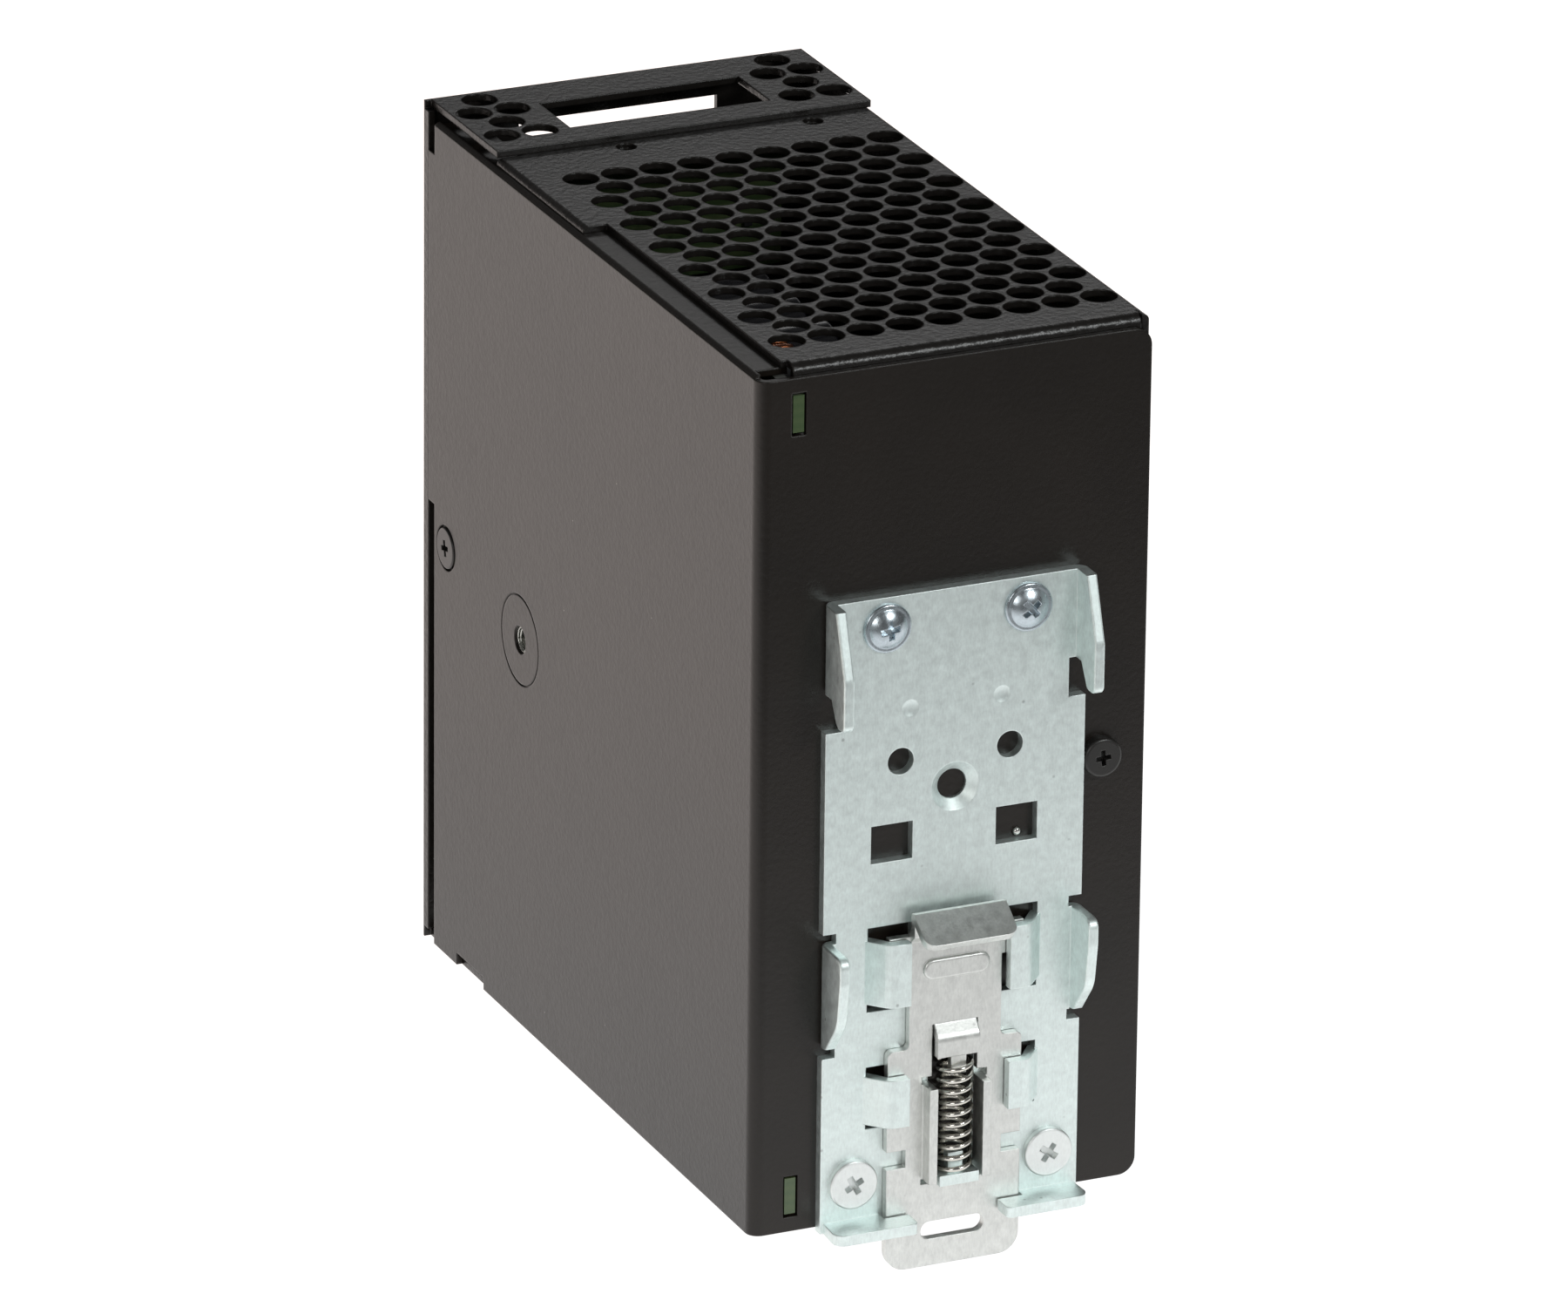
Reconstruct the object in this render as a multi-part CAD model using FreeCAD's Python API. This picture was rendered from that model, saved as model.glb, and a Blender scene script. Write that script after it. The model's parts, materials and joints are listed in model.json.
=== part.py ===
import FreeCAD, Part
import math
import os
from FreeCAD import Vector

# DIN rail power supply: a folded sheet-steel case with a sprung rail clip on its back, and the
# circuit board, transformer, coils, capacitors, heat sinks and clamp terminals inside it.
#
# Frame: millimetres, +Z up, front panel towards -Y, rail clip towards +Y. The origin is the centre
# of the rail seat, on the outer face of the clip's base plate, half way up the rail.
#
# The clip is laid out from its spring outwards and from the rail downwards, the case around it,
# and the circuit from the case's walls inwards, so each size below is written once.

# ---------------------------------------------------------------- driving dimensions: case
CASE_WIDTH = 57.0
CASE_HEIGHT = 125.0
CASE_DEPTH = 115.0
SHEET = 1.0                    # case sheet
SHEET_BEND = 1.8               # outer radius of the side bend at the back
SHEET_GAP = 0.1                # between sheets that only lie beside each other
EDGE_ROUNDING = 0.9            # folded edges of the cover
REAR_ROUNDING = 1.4            # its wider fold along the back
PANEL_ROUNDING = 0.8           # folded edges of the front panel
CORNER_RADIUS = 2.5            # back panel's corners at the cover's side
COVER_LIFT = 0.2               # side, back and cover end this far above the case's bottom
BACK_TOP_DROP = 1.5            # back panel's upper edge below the cover's top
FLANGE_INSET = 1.0             # front panel's flanges inside the +X side
FLANGE_DEPTH = 24.3
LIP_DEPTH = 2.3                # front panel's side lips
LIP_GAP = 2.2                  # open joint between a lip and the side panel
LIP_LOW = 1.6                  # lips start this far above the bottom
LIP_DROP = 1.2                 # and end this far below the top
LIP_REACH_START = 5.1          # side panel meets the lip from here above the side screw
LIP_REACH_DROP = 6.8           # up to here below the top
SIDE_FLANGE_WIDTH = 5.5        # side panel's flange under the cover
SIDE_FLANGE_FRONT = 1.0        # behind the side panel's front edge
SIDE_FLANGE_REAR = 3.4         # ahead of the back panel's outer face
COVER_LAP = 2.4                # cover's top under the front panel's flange
COVER_FRONT_GAP = 0.3          # cover's side behind the lip
COVER_TAB_REACH = 60.7         # rear end of the cover's wide tab, ahead of the back face
COVER_TAB_INSET = 0.9          # wide tab's edge inside the +X side
COVER_CUT_INSET = 4.4          # cover's edge behind the tab, inside the +X side
BACK_FLANGE_START = 1.1        # cover's upper inner flange, from the -X side
BACK_FLANGE_END = 8.6          # and from the +X side
BACK_FLANGE_DROP = 14.0
REAR_FOLD_END = 5.4            # the fold above it runs nearer to the +X side
REAR_FOLD_DROP = 2.5
SIDE_STRIP_WIDTH = 11.5        # cover's side inner flange
SIDE_STRIP_LOW = 10.0          # above the bottom
SIDE_STRIP_DROP = 17.0         # below the top
NOTCH_SETBACK = 12.8           # notch in the side panel's lower edge, behind the front face
NOTCH_LENGTH = 9.7
NOTCH_RISE = 2.0
DIMPLE_RADIUS = 1.4            # pressed marks in the cover's top behind the seam
DIMPLE_DEPTH = 0.8
DIMPLE_SPREAD = 14.0
DIMPLE_SHIFT = -4.1
DIMPLE_SETBACK = 2.3

# ---------------------------------------------------------------- driving dimensions: vents
VENT_DIAMETER = 5.0
VENT_PITCH = 5.68              # equilateral grid
VENT_CENTRE_X = -2.5
VENT_SIDE_MARGIN = 5.0         # hole centres from the sides
VENT_REAR_MARGIN = 9.8         # first row from the back face
VENT_SEAM_MARGIN = 11.0        # last row from the seam
VENT_GROUP_GAP = 7.1           # six-hole group beside a wire slot, middle to slot end
VENT_GROUP_SETBACK = 3.7       # its first hole behind the front face
VENT_GROUP_ROWS = 4
LOW_VENT_ROWS = 5
LOW_VENT_COUNT = 6
LOW_VENT_START = 14.5          # from the -X side
LOW_VENT_REAR_MARGIN = 24.0

# ---------------------------------------------------------------- driving dimensions: clip
RAIL_HEIGHT = 35.0
PLATE_SHEET = 1.5
PLATE_RISE = 12.8              # plate above the rail
SHOULDER_DROP = 5.4            # plate's shoulders below the rail's upper edge
EDGE_RELIEF = 0.4              # relief beside a folded ear
FOLD_RELIEF = 1.5
NECK_NOTCH = 2.5               # width of the notch under a hook ear
HOOK_REACH = 5.9
HOOK_GAP = 1.4                 # hook tail in front of the plate: holds the rail's flange
HOOK_LIFT = 0.2                # hook notch above the rail
HOOK_TAIL_DROP = 3.3
HOOK_TAIL_SLOPE = 2.0
HOOK_CROWN = 3.9
HOOK_TAIL_ROUNDING = 1.1
HOOK_CROWN_ROUNDING = 3.0
EAR_DROP = 0.8                 # lower ears below the rail's lower edge
EAR_HEIGHT = 15.0
EAR_REACH = 5.7
EAR_STEP = 3.7
EAR_CORNER_DROP = 10.0
EAR_CORNER_REACH = 4.8
EAR_END_REACH = 1.2
EAR_ROUNDINGS = (1.4, 4.0, 5.0)  # from the ear's upper corner downwards
EDGE_SOFTENING = 0.3           # rubbed edges of the ears
FOOT_REACH = 5.0
FOOT_DROP = 0.3                # plate and feet below the case's bottom
FOOT_SIDE_GAP = 0.45           # foot's root beside the slider
FOOT_FRONT_GAP = 0.3           # foot in front of the slider
FOOT_LAP = 3.25                # foot over the slider's edge
FOOT_TAPER = 0.6
FOOT_ROUNDING = 1.6
SEAT_MARGIN = 5.3              # spring seat above the case's bottom
SEAT_SIDE_GAP = 0.45
SEAT_REACH = 3.4
TONGUE_WIDTH = 2.2             # spring-centring tongues
TONGUE_SHEET = 1.4
TONGUE_LENGTH = 2.6
SLIDER_SHEET = 1.2
SLIDER_CLEARANCE = 0.1         # slider in front of the plate
SLIDER_OVERHANG = 7.0          # below the case's bottom
SLIDER_CORNER = 3.0
SHOULDER_ROUNDING = 0.8
LATCH_RISE = 2.8               # latch ridge above the rail's lower edge
LATCH_STEP = 1.3               # latch sheet in front of the plate where it holds the flange
LIP_REACH = 6.9                # lead-in lip in front of the slider's rear face
LIP_SLOPE = 0.7                # lip's drop per unit of reach
LIP_CORNER = 1.5
WING_DROP = 0.9                # wings below the rail's lower edge
WING_HEIGHT = 4.5
NECK_GAP = 0.55                # slider's neck inside the upper guides
GUIDE_CLEARANCE = 0.2          # guide in front of the slider
GUIDE_LAP = 2.55               # guide over the slider's edge
GUIDE_ROOT_GAP = 2.65          # guide's root beside the slider
GUIDE_KNEE_GAP = 0.35
GUIDE_ROUNDING = 2.4           # outer radius of a guide's folds
GUIDE_WINDOW_PAST = 1.4        # window past the guide's end
UPPER_GUIDE_DROP = 1.1         # upper guides below the rail's lower edge
UPPER_GUIDE_HEIGHT = 9.1
LOWER_GUIDE_STEP = 10.6        # lower guides below the upper ones
LOWER_GUIDE_HEIGHT = 6.9
GUIDE_WINDOW_LOW = (1.3, 0.8)  # upper and lower windows past their guides, downwards
GUIDE_WINDOW_HIGH = (1.8, 1.3)
SHOULDER_STEP = 7.1            # slider's shoulders below the upper guides
EMBOSS_DROP = 6.1              # oval bead below the rail's lower edge
EMBOSS_LENGTH = 9.8
EMBOSS_HEIGHT = 3.0
EMBOSS_RISE = 0.45
EMBOSS_ROUNDING = 0.4
GRIP_NOTCH_DEPTH = 2.8         # notches in the slider's edges
GRIP_NOTCH_HEIGHT = 2.6
GRIP_NOTCH_GAP = 2.9           # above the slider window's lower end
PRY_SLOT_LENGTH = 9.4          # screwdriver slot
PRY_SLOT_HEIGHT = 2.6
PRY_SLOT_DROP = 1.8
SPRING_RADIUS = 2.6            # outer
SPRING_WIRE = 0.75
SPRING_LENGTH = 17.0
SPRING_DROP = 18.7             # spring's top below the rail's lower edge
SPRING_TURNS = 10
SPRING_END_GAP = 0.05
SPRING_SIDE_GAP = 0.75         # spring to window edge
SPRING_BACK_GAP = 0.2          # spring to the case's back panel
SPRING_TAB_LENGTH = 4.5
SPRING_TAB_BULGE = 1.4
SPRING_TAB_GAP = 0.25
SPRING_TAB_BENDS = (0.5, 2.1, 1.7)  # inner start and end, outer end, below the window's top
SPRING_TAB_ROUNDING = 1.7
WINDOW_TOP_GAP = 3.2           # plate's window above the spring
UPSTAND_RISE = 2.2             # slider's upstands beside the spring
UPSTAND_DROP = 4.1             # below the spring's top
UPSTAND_LIFT = 0.8             # above the slider window's lower end
UPSTAND_RELIEF = 1.1
UPSTAND_GAP = 2.75             # guide's end beside an upstand
CLIP_SCREW_RADIUS = 1.5
DOME_HEAD_RADIUS = 3.45        # flange under the dome
DOME_FLANGE = 0.55
DOME_RADIUS = 2.75
DOME_HEIGHT = 1.0
FLAT_HEAD_RADIUS = 3.5
FLAT_HEAD_HEIGHT = 1.0
CLIP_SCREW_LENGTH = 4.5
FLAT_HEAD_GAP = 1.05           # lower screw heads beside the slider
PLATE_EDGE = 4.6               # lower screws inside the plate's edge
UPPER_SCREW_INSET = 8.7
UPPER_SCREW_RISE = 8.5         # above the rail's upper edge
LOWER_SCREW_RISE = 6.5         # above the case's bottom
SCREW_CLEARANCE = 0.2          # screw in a clearance hole, radial
MOUNT_HOLE_DIAMETER = 3.8
MOUNT_HOLE_X = 8.0
MOUNT_HOLE_Z = 6.6
CENTRE_HOLE_DIAMETER = 4.2
CENTRE_HOLE_Z = 1.8
CENTRE_DISH_RADIUS = 3.5
CENTRE_DISH_LAND = 0.4         # sheet left below the dish
DOT_RADIUS = 1.25              # shallow round marks on the plate
DOT_DEPTH = 0.25
DOT_X = 6.7
DOT_DROP = 3.5                 # below the rail's upper edge
SQUARE_X = 9.15                # square holes
SQUARE_Z = -4.9
SQUARE_WIDTH = 6.1
SQUARE_HEIGHT = 5.4
PIN_RADIUS = 0.6               # locating pin behind the -X square hole
PIN_SHIFT_X = 0.65
PIN_DROP = 1.8
PIN_LENGTH = 2.6
PIN_STAND = 0.6

# ---------------------------------------------------------------- driving dimensions: fixings
CASE_SCREW_RADIUS = 1.5
CASE_SCREW_HEAD = 2.95
SIDE_SCREW_HEAD_HEIGHT = 0.8
BACK_SCREW_HEAD_HEIGHT = 1.5
CASE_SCREW_LENGTH = 4.0
CASE_SCREW_TURNS = {"right": 12.0, "left": -25.0, "back": 5.0}  # recesses, in degrees
CLIP_SCREW_TURNS = {"left": (40.0, -35.0), "right": (8.0, 28.0)}  # upper and lower
RECESS_ARM = 0.4               # half length of a crossed recess, per unit of the head's radius
RECESS_HALF_WIDTH = 0.12
RECESS_DEPTH = 1.2
SIDE_SCREW_SETBACK = 8.7       # behind the front face
SIDE_SCREW_SINK = 0.6          # side screws' seats below the side's face
SIDE_DISH_GAP = 0.35           # dish past the sunk head's rim
SIDE_SCREW_RISE = 61.5         # above the bottom
SCREW_TAB_REACH = 5.0          # front panel's inner tab behind the side screw
SCREW_TAB_LOW = 7.0            # below the side screw
SCREW_TAB_HIGH = 3.5           # above the side screw
SCREW_TAB_GAP = 0.7            # board and film around the tab
BACK_SCREW_GAP = 0.1           # back screw's head beside the plate
BACK_SCREW_HEAD = 2.8
BACK_SCREW_LENGTH = 5.0
BACK_SCREW_RISE = 62.4
SIDE_NUT_SETBACK = 35.2        # behind the front face
SIDE_NUT_RISE = 57.4
SIDE_NUT_BORE = 1.65           # radius of an M4 tapping hole
SIDE_NUT_COLLAR = 2.7
SIDE_NUT_BARREL = 3.6
SIDE_NUT_LENGTH = 2.6
SIDE_NUT_SINK = 0.4            # collar's face below the side's face
SIDE_HOLE_RADIUS = 2.0
SIDE_RING_DIAMETER = 13.2
SIDE_RING_GROOVE = 0.25
BOARD_SHEET = 1.6
BOARD_SIDE_GAP = 4.0           # board to the +X side panel
BOARD_FRONT_GAP = 2.5
BOARD_REAR_GAP = 0.6
BOARD_BOTTOM_GAP = 3.5
BOARD_TOP_GAP = 4.5
BOARD_TAB_HEIGHT = 5.2
BOARD_TAB_SINK = 0.2           # tabs short of the back face
BOARD_TAB_DROP = 7.6           # upper tab below the top
BOARD_TAB_RISE = 5.3           # lower tab above the bottom
BOARD_SLOT_HEIGHT = 6.0
BOARD_SLOT_WIDTH = 2.1
FILM_SHEET = 0.4
FILM_GAP = 0.1                 # film to the side panel
FILM_MARGIN = 6.0
FILM_HOLE_GAP = 0.6
STANDOFF_SETBACK = 42.0
STANDOFF_MARGIN = 12.0         # from top and bottom
STANDOFF_RADIUS = 2.5
STANDOFF_NECK = 1.2            # through the board
STANDOFF_HEAD = 0.8            # neck past the board's face

# ---------------------------------------------------------------- driving dimensions: terminals
OUTPUT_POLES = 4
INPUT_POLES = 3
TERMINAL_PITCH = 7.5
TERMINAL_CENTRE_X = -0.6
TERMINAL_DEPTH = 17.0
TERMINAL_HEIGHT = 15.5
TERMINAL_MARGIN = 7.2          # block below the case's top, or above its bottom
TERMINAL_FRONT_GAP = 0.3
TERMINAL_WALL = 1.0            # between neighbouring poles, half
POLE_FRONT_WALL = 1.2
POLE_MOUTH_DEPTH = 1.2
CAGE_SHEET = 0.8
CAGE_LENGTH = 8.4
CAGE_HEIGHT = 6.4
CAGE_TRAVEL = 3.6
CAGE_CLEARANCE = 0.15
CAGE_END_GAP = 0.3
CAGE_TOP_GAP = 0.6             # raised cage behind the screw's head
CAGE_FLOOR_GAP = 0.2
CLAMP_SCREW_RADIUS = 1.5
CLAMP_HEAD_RADIUS = 2.1
CLAMP_HEAD_HEIGHT = 1.8
CLAMP_HEAD_CLEARANCE = 0.25
CLAMP_RECESS = 1.0
THREAD_CLEARANCE = 0.05
BAR_CLEARANCE = 0.1            # bar to the cage's side walls
BAR_SHEET = 1.0
BAR_OPENING = 1.3              # bar behind the open cage's front wall
BAR_TOP_DROP = 0.4
BAR_TAIL = 3.0                 # bar past the cage, into the block
SCREW_TIP_GAP = 0.2
SOLDER_PIN = 1.0
SOLDER_PIN_WIDTH = 1.2
SOLDER_PIN_DROP = 2.2
SOLDER_PIN_STAND = 0.6
WIRE_SLOT_SETBACK = 8.1
WIRE_SLOT_DEPTH = 10.9
WINDOW_MARGIN = 5.0            # terminal window below the top, or above the bottom
WINDOW_HEIGHT = 15.0
TERMINAL_BOARD_MARGIN = 1.5
TERMINAL_BOARD_RISE = 1.0

# ---------------------------------------------------------------- driving dimensions: circuit
COMPONENT_GAP = 1.2            # between neighbours on the board
LOW_ROW_RISE = 20.5            # lower row's centre above the bottom
TOP_ROW_DROP = 19.0            # upper row's centre below the top
BULK_RADIUS = 12.0
BULK_HEIGHT = 38.0
PFC_RADIUS = 12.5
PFC_BORE = 6.0
PFC_THICKNESS = 17.0
MAINS_CHOKE_RADIUS = 9.0
MAINS_CHOKE_BORE = 3.8
MAINS_CHOKE_THICKNESS = 15.0
OUTPUT_CHOKE_RADIUS = 8.5
OUTPUT_CHOKE_BORE = 3.6
OUTPUT_CHOKE_THICKNESS = 13.0
WINDING_WIRE = 1.2
WINDING_LIFT = 0.3             # thickness of a choke's base
CHOKE_ROUNDING = 1.2           # winding's rim radius, per wire
CHOKE_OPENING = 0.18           # half height of the unwound sector, per unit of its length
CHOKE_BASE = 0.65              # half width of the base, per unit of the choke's radius
OUTPUT_CAN_RADIUS = 4.8
OUTPUT_CAN_HEIGHT = 25.0
OUTPUT_CAN_GAP = 1.0
CAN_RIM = 0.6
CAN_GROOVE = 0.6               # crimp groove's radius
CAN_GROOVE_RISE = 3.0
CORE_DEPTH = 30.0
CORE_HEIGHT = 34.0
CORE_RISE = 34.0
CORE_LEG = 5.5                 # half of the centre leg, and the yokes
CORE_SETBACK = 50.0            # core's middle from the back face
CORE_Z = -5.0
CORE_LIFT = 3.0
BOBBIN_GAP = 0.2
BOBBIN_WRAP = 6.0
BOBBIN_PIN = 1.0
BOBBIN_PIN_PITCH = 5.0
SINK_SHEET = 3.0
SINK_RISE = 38.0
SINK_SETBACK = 24.0
PRIMARY_SINK_LOW = -18.0
PRIMARY_SINK_HEIGHT = 32.0
SINK_SPACING = 3.0
SECONDARY_SINK_DROP = 8.0
PACKAGE_WIDTH = 10.0           # power transistor
PACKAGE_BODY = 9.0
PACKAGE_THICKNESS = 4.4
PACKAGE_TAB = 6.5
PACKAGE_TAB_SHEET = 1.3
PACKAGE_HOLE = 1.8
PACKAGE_HOLE_UP = 3.5
PACKAGE_LIFT = 6.0
PACKAGE_LEG_PITCH = 2.54
PACKAGE_LEG = 0.8
PACKAGE_LEG_SHEET = 0.6
PACKAGE_LEG_SET = 2.4
MOSFET_RISE = 7.0              # above the primary heat sink's lower end
BRIDGE_LOW = 14.0              # above the primary heat sink's lower end
BRIDGE_WIDTH = 16.0
BRIDGE_RISE = 18.0
BRIDGE_THICKNESS = 4.0
BRIDGE_LEG_PITCH = 4.0
X_CAP_SETBACK = 3.5            # behind the front face
X_CAP_DEPTH = 16.0
X_CAP_HEIGHT = 11.0
X_CAP_RISE = 22.0
X_CAP_Z = -18.0
CONTROL_SETBACK = 20.5
CONTROL_DEPTH = 22.0
CONTROL_RISE = 17.0
CONTROL_SHEET = 1.2
CONTROL_Z = 15.0
FUSE_RADIUS = 2.6
FUSE_LENGTH = 20.0
FUSE_SETBACK = 23.0
FUSE_RISE = 8.0
FUSE_LIFT = 5.0
FUSE_CLIP = 1.0
LED_RADIUS = 1.5
LED_HOLE_CLEARANCE = 0.25
LED_PROUD = 0.6
LED_LIFT = 3.5                 # lens centre from the board's face
LED_RISE = 20.5                # above the side screw
LED_HOLDER_SETBACK = 6.0
LED_HOLDER = (4.0, 4.8)        # depth and height
TRIMMER_LIFT = 3.8
TRIMMER_RISE = 11.0            # above the LED
TRIMMER_BODY = 6.6
TRIMMER_DEPTH = 8.0
TRIMMER_FRONT_GAP = 1.2
TRIMMER_HOLE_RADIUS = 2.6
ROTOR_RADIUS = 2.2
ROTOR_CLEARANCE = 0.05
ROTOR_SINK = 3.0
ROTOR_PROUD = 0.5
ROTOR_SLOT = 0.7
ROTOR_SLOT_DEPTH = 0.9

# ---------------------------------------------------------------- places that follow from them
PAST = 1.0                     # how far a cutter runs past the face that it opens

# Rail and clip, downwards
RAIL_TOP = RAIL_HEIGHT / 2
RAIL_LOW = -RAIL_HEIGHT / 2
PLATE_TOP = RAIL_TOP + PLATE_RISE
EAR_TOP = RAIL_LOW - EAR_DROP
EAR_LOW = EAR_TOP - EAR_HEIGHT
UPPER_GUIDE_TOP = RAIL_LOW - UPPER_GUIDE_DROP
UPPER_GUIDE_LOW = UPPER_GUIDE_TOP - UPPER_GUIDE_HEIGHT
LOWER_GUIDE_TOP = UPPER_GUIDE_LOW - LOWER_GUIDE_STEP
LOWER_GUIDE_LOW = LOWER_GUIDE_TOP - LOWER_GUIDE_HEIGHT
SLIDER_SHOULDER = UPPER_GUIDE_LOW - SHOULDER_STEP
SPRING_TOP = RAIL_LOW - SPRING_DROP
SPRING_LOW = SPRING_TOP - SPRING_LENGTH
SEAT_LOW = SPRING_LOW - PLATE_SHEET
SLIDER_WINDOW_LOW = SEAT_LOW - GUIDE_CLEARANCE
SLIDER_WINDOW_TOP = SPRING_TOP + SPRING_TAB_LENGTH

# Clip, outwards
WINDOW_HALF = SPRING_RADIUS + SPRING_SIDE_GAP
UPSTAND_HALF = WINDOW_HALF + SLIDER_SHEET
GUIDE_END = UPSTAND_HALF + UPSTAND_GAP
NECK_HALF = GUIDE_END - NECK_GAP
SLIDER_HALF = GUIDE_END + GUIDE_LAP
GUIDE_ROOT = SLIDER_HALF + GUIDE_ROOT_GAP
LOWER_SCREW_X = SLIDER_HALF + FLAT_HEAD_GAP + FLAT_HEAD_RADIUS
PLATE_HALF = LOWER_SCREW_X + PLATE_EDGE
UPPER_SCREW_X = PLATE_HALF - UPPER_SCREW_INSET
SLIDER_FRONT = SLIDER_CLEARANCE + SLIDER_SHEET
SPRING_Y = -PLATE_SHEET + SPRING_BACK_GAP + SPRING_RADIUS

# Case
HALF = CASE_WIDTH / 2
Z_LOW = SEAT_LOW - SEAT_MARGIN
Z_HIGH = Z_LOW + CASE_HEIGHT
Y_BACK = -PLATE_SHEET
Y_FRONT = Y_BACK - CASE_DEPTH
Y_SEAM = Y_FRONT + FLANGE_DEPTH
Y_LIP = Y_FRONT + LIP_DEPTH
Y_SIDE_FRONT = Y_LIP + LIP_GAP
COVER_LOW = Z_LOW + COVER_LIFT
COVER_TOP = Z_HIGH - SHEET
SIDE_TOP = COVER_TOP - SHEET
INNER_BACK = Y_BACK - 2 * SHEET - SHEET_GAP
INNER_RIGHT = HALF - SHEET
INNER_LEFT = -HALF + SHEET
VENT_ROW_STEP = VENT_PITCH * math.sqrt(3) / 2
UPPER_SCREW_Z = RAIL_TOP + UPPER_SCREW_RISE
LOWER_SCREW_Z = Z_LOW + LOWER_SCREW_RISE
PIN_X = -SQUARE_X - PIN_SHIFT_X
PIN_Z = SQUARE_Z - PIN_DROP
SIDE_SCREW_Y = Y_FRONT + SIDE_SCREW_SETBACK
SIDE_SCREW_Z = Z_LOW + SIDE_SCREW_RISE
BACK_SCREW_X = -PLATE_HALF - BACK_SCREW_GAP - BACK_SCREW_HEAD
BACK_SCREW_Z = Z_LOW + BACK_SCREW_RISE
SIDE_NUT_Y = Y_FRONT + SIDE_NUT_SETBACK
SIDE_NUT_Z = Z_LOW + SIDE_NUT_RISE

# Board
BOARD_X = INNER_RIGHT - BOARD_SIDE_GAP
BOARD_FACE = BOARD_X - BOARD_SHEET
BOARD_TABS_Z = (Z_HIGH - BOARD_TAB_DROP, Z_LOW + BOARD_TAB_RISE)
STANDOFF_Y = Y_FRONT + STANDOFF_SETBACK
STANDOFFS_Z = (Z_LOW + STANDOFF_MARGIN, Z_HIGH - STANDOFF_MARGIN)
LOW_ROW_Z = Z_LOW + LOW_ROW_RISE
TOP_ROW_Z = Z_HIGH - TOP_ROW_DROP
LED_X = BOARD_FACE - LED_LIFT
LED_Z = SIDE_SCREW_Z + LED_RISE
TRIMMER_X = BOARD_FACE - TRIMMER_LIFT
TRIMMER_Z = LED_Z + TRIMMER_RISE

# Terminals, backwards from the front panel
SLOT_HALF = OUTPUT_POLES * TERMINAL_PITCH / 2
TERMINAL_FRONT = Y_FRONT + SHEET + TERMINAL_FRONT_GAP
TERMINAL_REAR = TERMINAL_FRONT + TERMINAL_DEPTH
CLAMP_HEAD_Y = TERMINAL_FRONT + POLE_FRONT_WALL
CLAMP_SEAT_Y = CLAMP_HEAD_Y + CLAMP_HEAD_HEIGHT
CAGE_Y = CLAMP_SEAT_Y + CAGE_TOP_GAP + CAGE_TRAVEL
BAR_Y = CAGE_Y + CAGE_SHEET + BAR_OPENING
POCKET_HALF = TERMINAL_PITCH / 2 - TERMINAL_WALL
CAGE_HALF = POCKET_HALF - CAGE_CLEARANCE
BAR_HALF = CAGE_HALF - CAGE_SHEET - BAR_CLEARANCE


# ---------------------------------------------------------------- shape helpers
def box(x0, x1, y0, y1, z0, z1):
    """Axis-aligned block between two planes on each axis, in either order."""
    x0, x1 = sorted((x0, x1))
    y0, y1 = sorted((y0, y1))
    z0, z1 = sorted((z0, z1))
    return Part.makeBox(x1 - x0, y1 - y0, z1 - z0, Vector(x0, y0, z0))


def block(centre_x, half_x, y0, y1, centre_z, half_z):
    """Block centred in X and Z, between two Y planes."""
    return box(centre_x - half_x, centre_x + half_x, y0, y1, centre_z - half_z, centre_z + half_z)


def block_x(x0, x1, y, half_y, z, half_z):
    """Block between two X planes, centred in Y and Z."""
    return box(x0, x1, y - half_y, y + half_y, z - half_z, z + half_z)


def rod(radius, start, direction, length):
    """Cylinder from a start point along a direction."""
    return Part.makeCylinder(radius, length, Vector(*start), Vector(*direction))


def rod_x(radius, x0, x1, y, z):
    """Cylinder along X."""
    return rod(radius, (x0, y, z), (1, 0, 0), x1 - x0)


def rod_y(radius, x, y0, y1, z):
    """Cylinder along Y."""
    return rod(radius, (x, y0, z), (0, 1, 0), y1 - y0)


def rod_z(radius, x, y, z0, z1):
    """Cylinder along Z."""
    return rod(radius, (x, y, z0), (0, 0, 1), z1 - z0)


def face_of(points):
    """Plane face on a closed outline of 3-D points."""
    corners = [Vector(*p) for p in points]
    return Part.Face(Part.makePolygon(corners + [corners[0]]))


def prism_x(outline, x0, x1):
    """Outline in (y, z), carried from x0 to x1."""
    return face_of([(x0, y, z) for y, z in outline]).extrude(Vector(x1 - x0, 0, 0))


def prism_y(outline, y0, y1):
    """Outline in (x, z), carried from y0 to y1."""
    return face_of([(x, y0, z) for x, z in outline]).extrude(Vector(0, y1 - y0, 0))


def prism_z(outline, z0, z1):
    """Outline in (x, y), carried from z0 to z1."""
    return face_of([(x, y, z0) for x, y in outline]).extrude(Vector(0, 0, z1 - z0))


def mirrored(outline):
    """Outline given on the +X side, closed by its mirror image."""
    return outline + [(-x, z) for x, z in reversed(outline)]


def union(shapes):
    """One shape from pieces that share faces or volume."""
    return shapes[0].multiFuse(shapes[1:]).removeSplitter()


def without(shape, cutters):
    """The shape with every cutter taken away at once."""
    return shape.cut(Part.makeCompound(cutters))


def near(a, b, tolerance=0.01):
    """True where two lengths agree."""
    return abs(a - b) < tolerance


def along(direction, axis):
    """True where a unit direction runs along the named axis."""
    return near(abs(getattr(direction, axis)), 1)


def round_edges(shape, radius, wanted):
    """Fillet the straight edges for which wanted(middle point, direction) holds."""
    edges = []
    for edge in shape.Edges:
        if edge.Curve.TypeId != "Part::GeomLine":
            continue
        first, last = edge.Vertexes[0].Point, edge.Vertexes[-1].Point
        if wanted((first + last) * 0.5, (last - first).normalize()):
            edges.append(edge)
    return shape.makeFillet(radius, edges) if edges else shape


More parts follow.
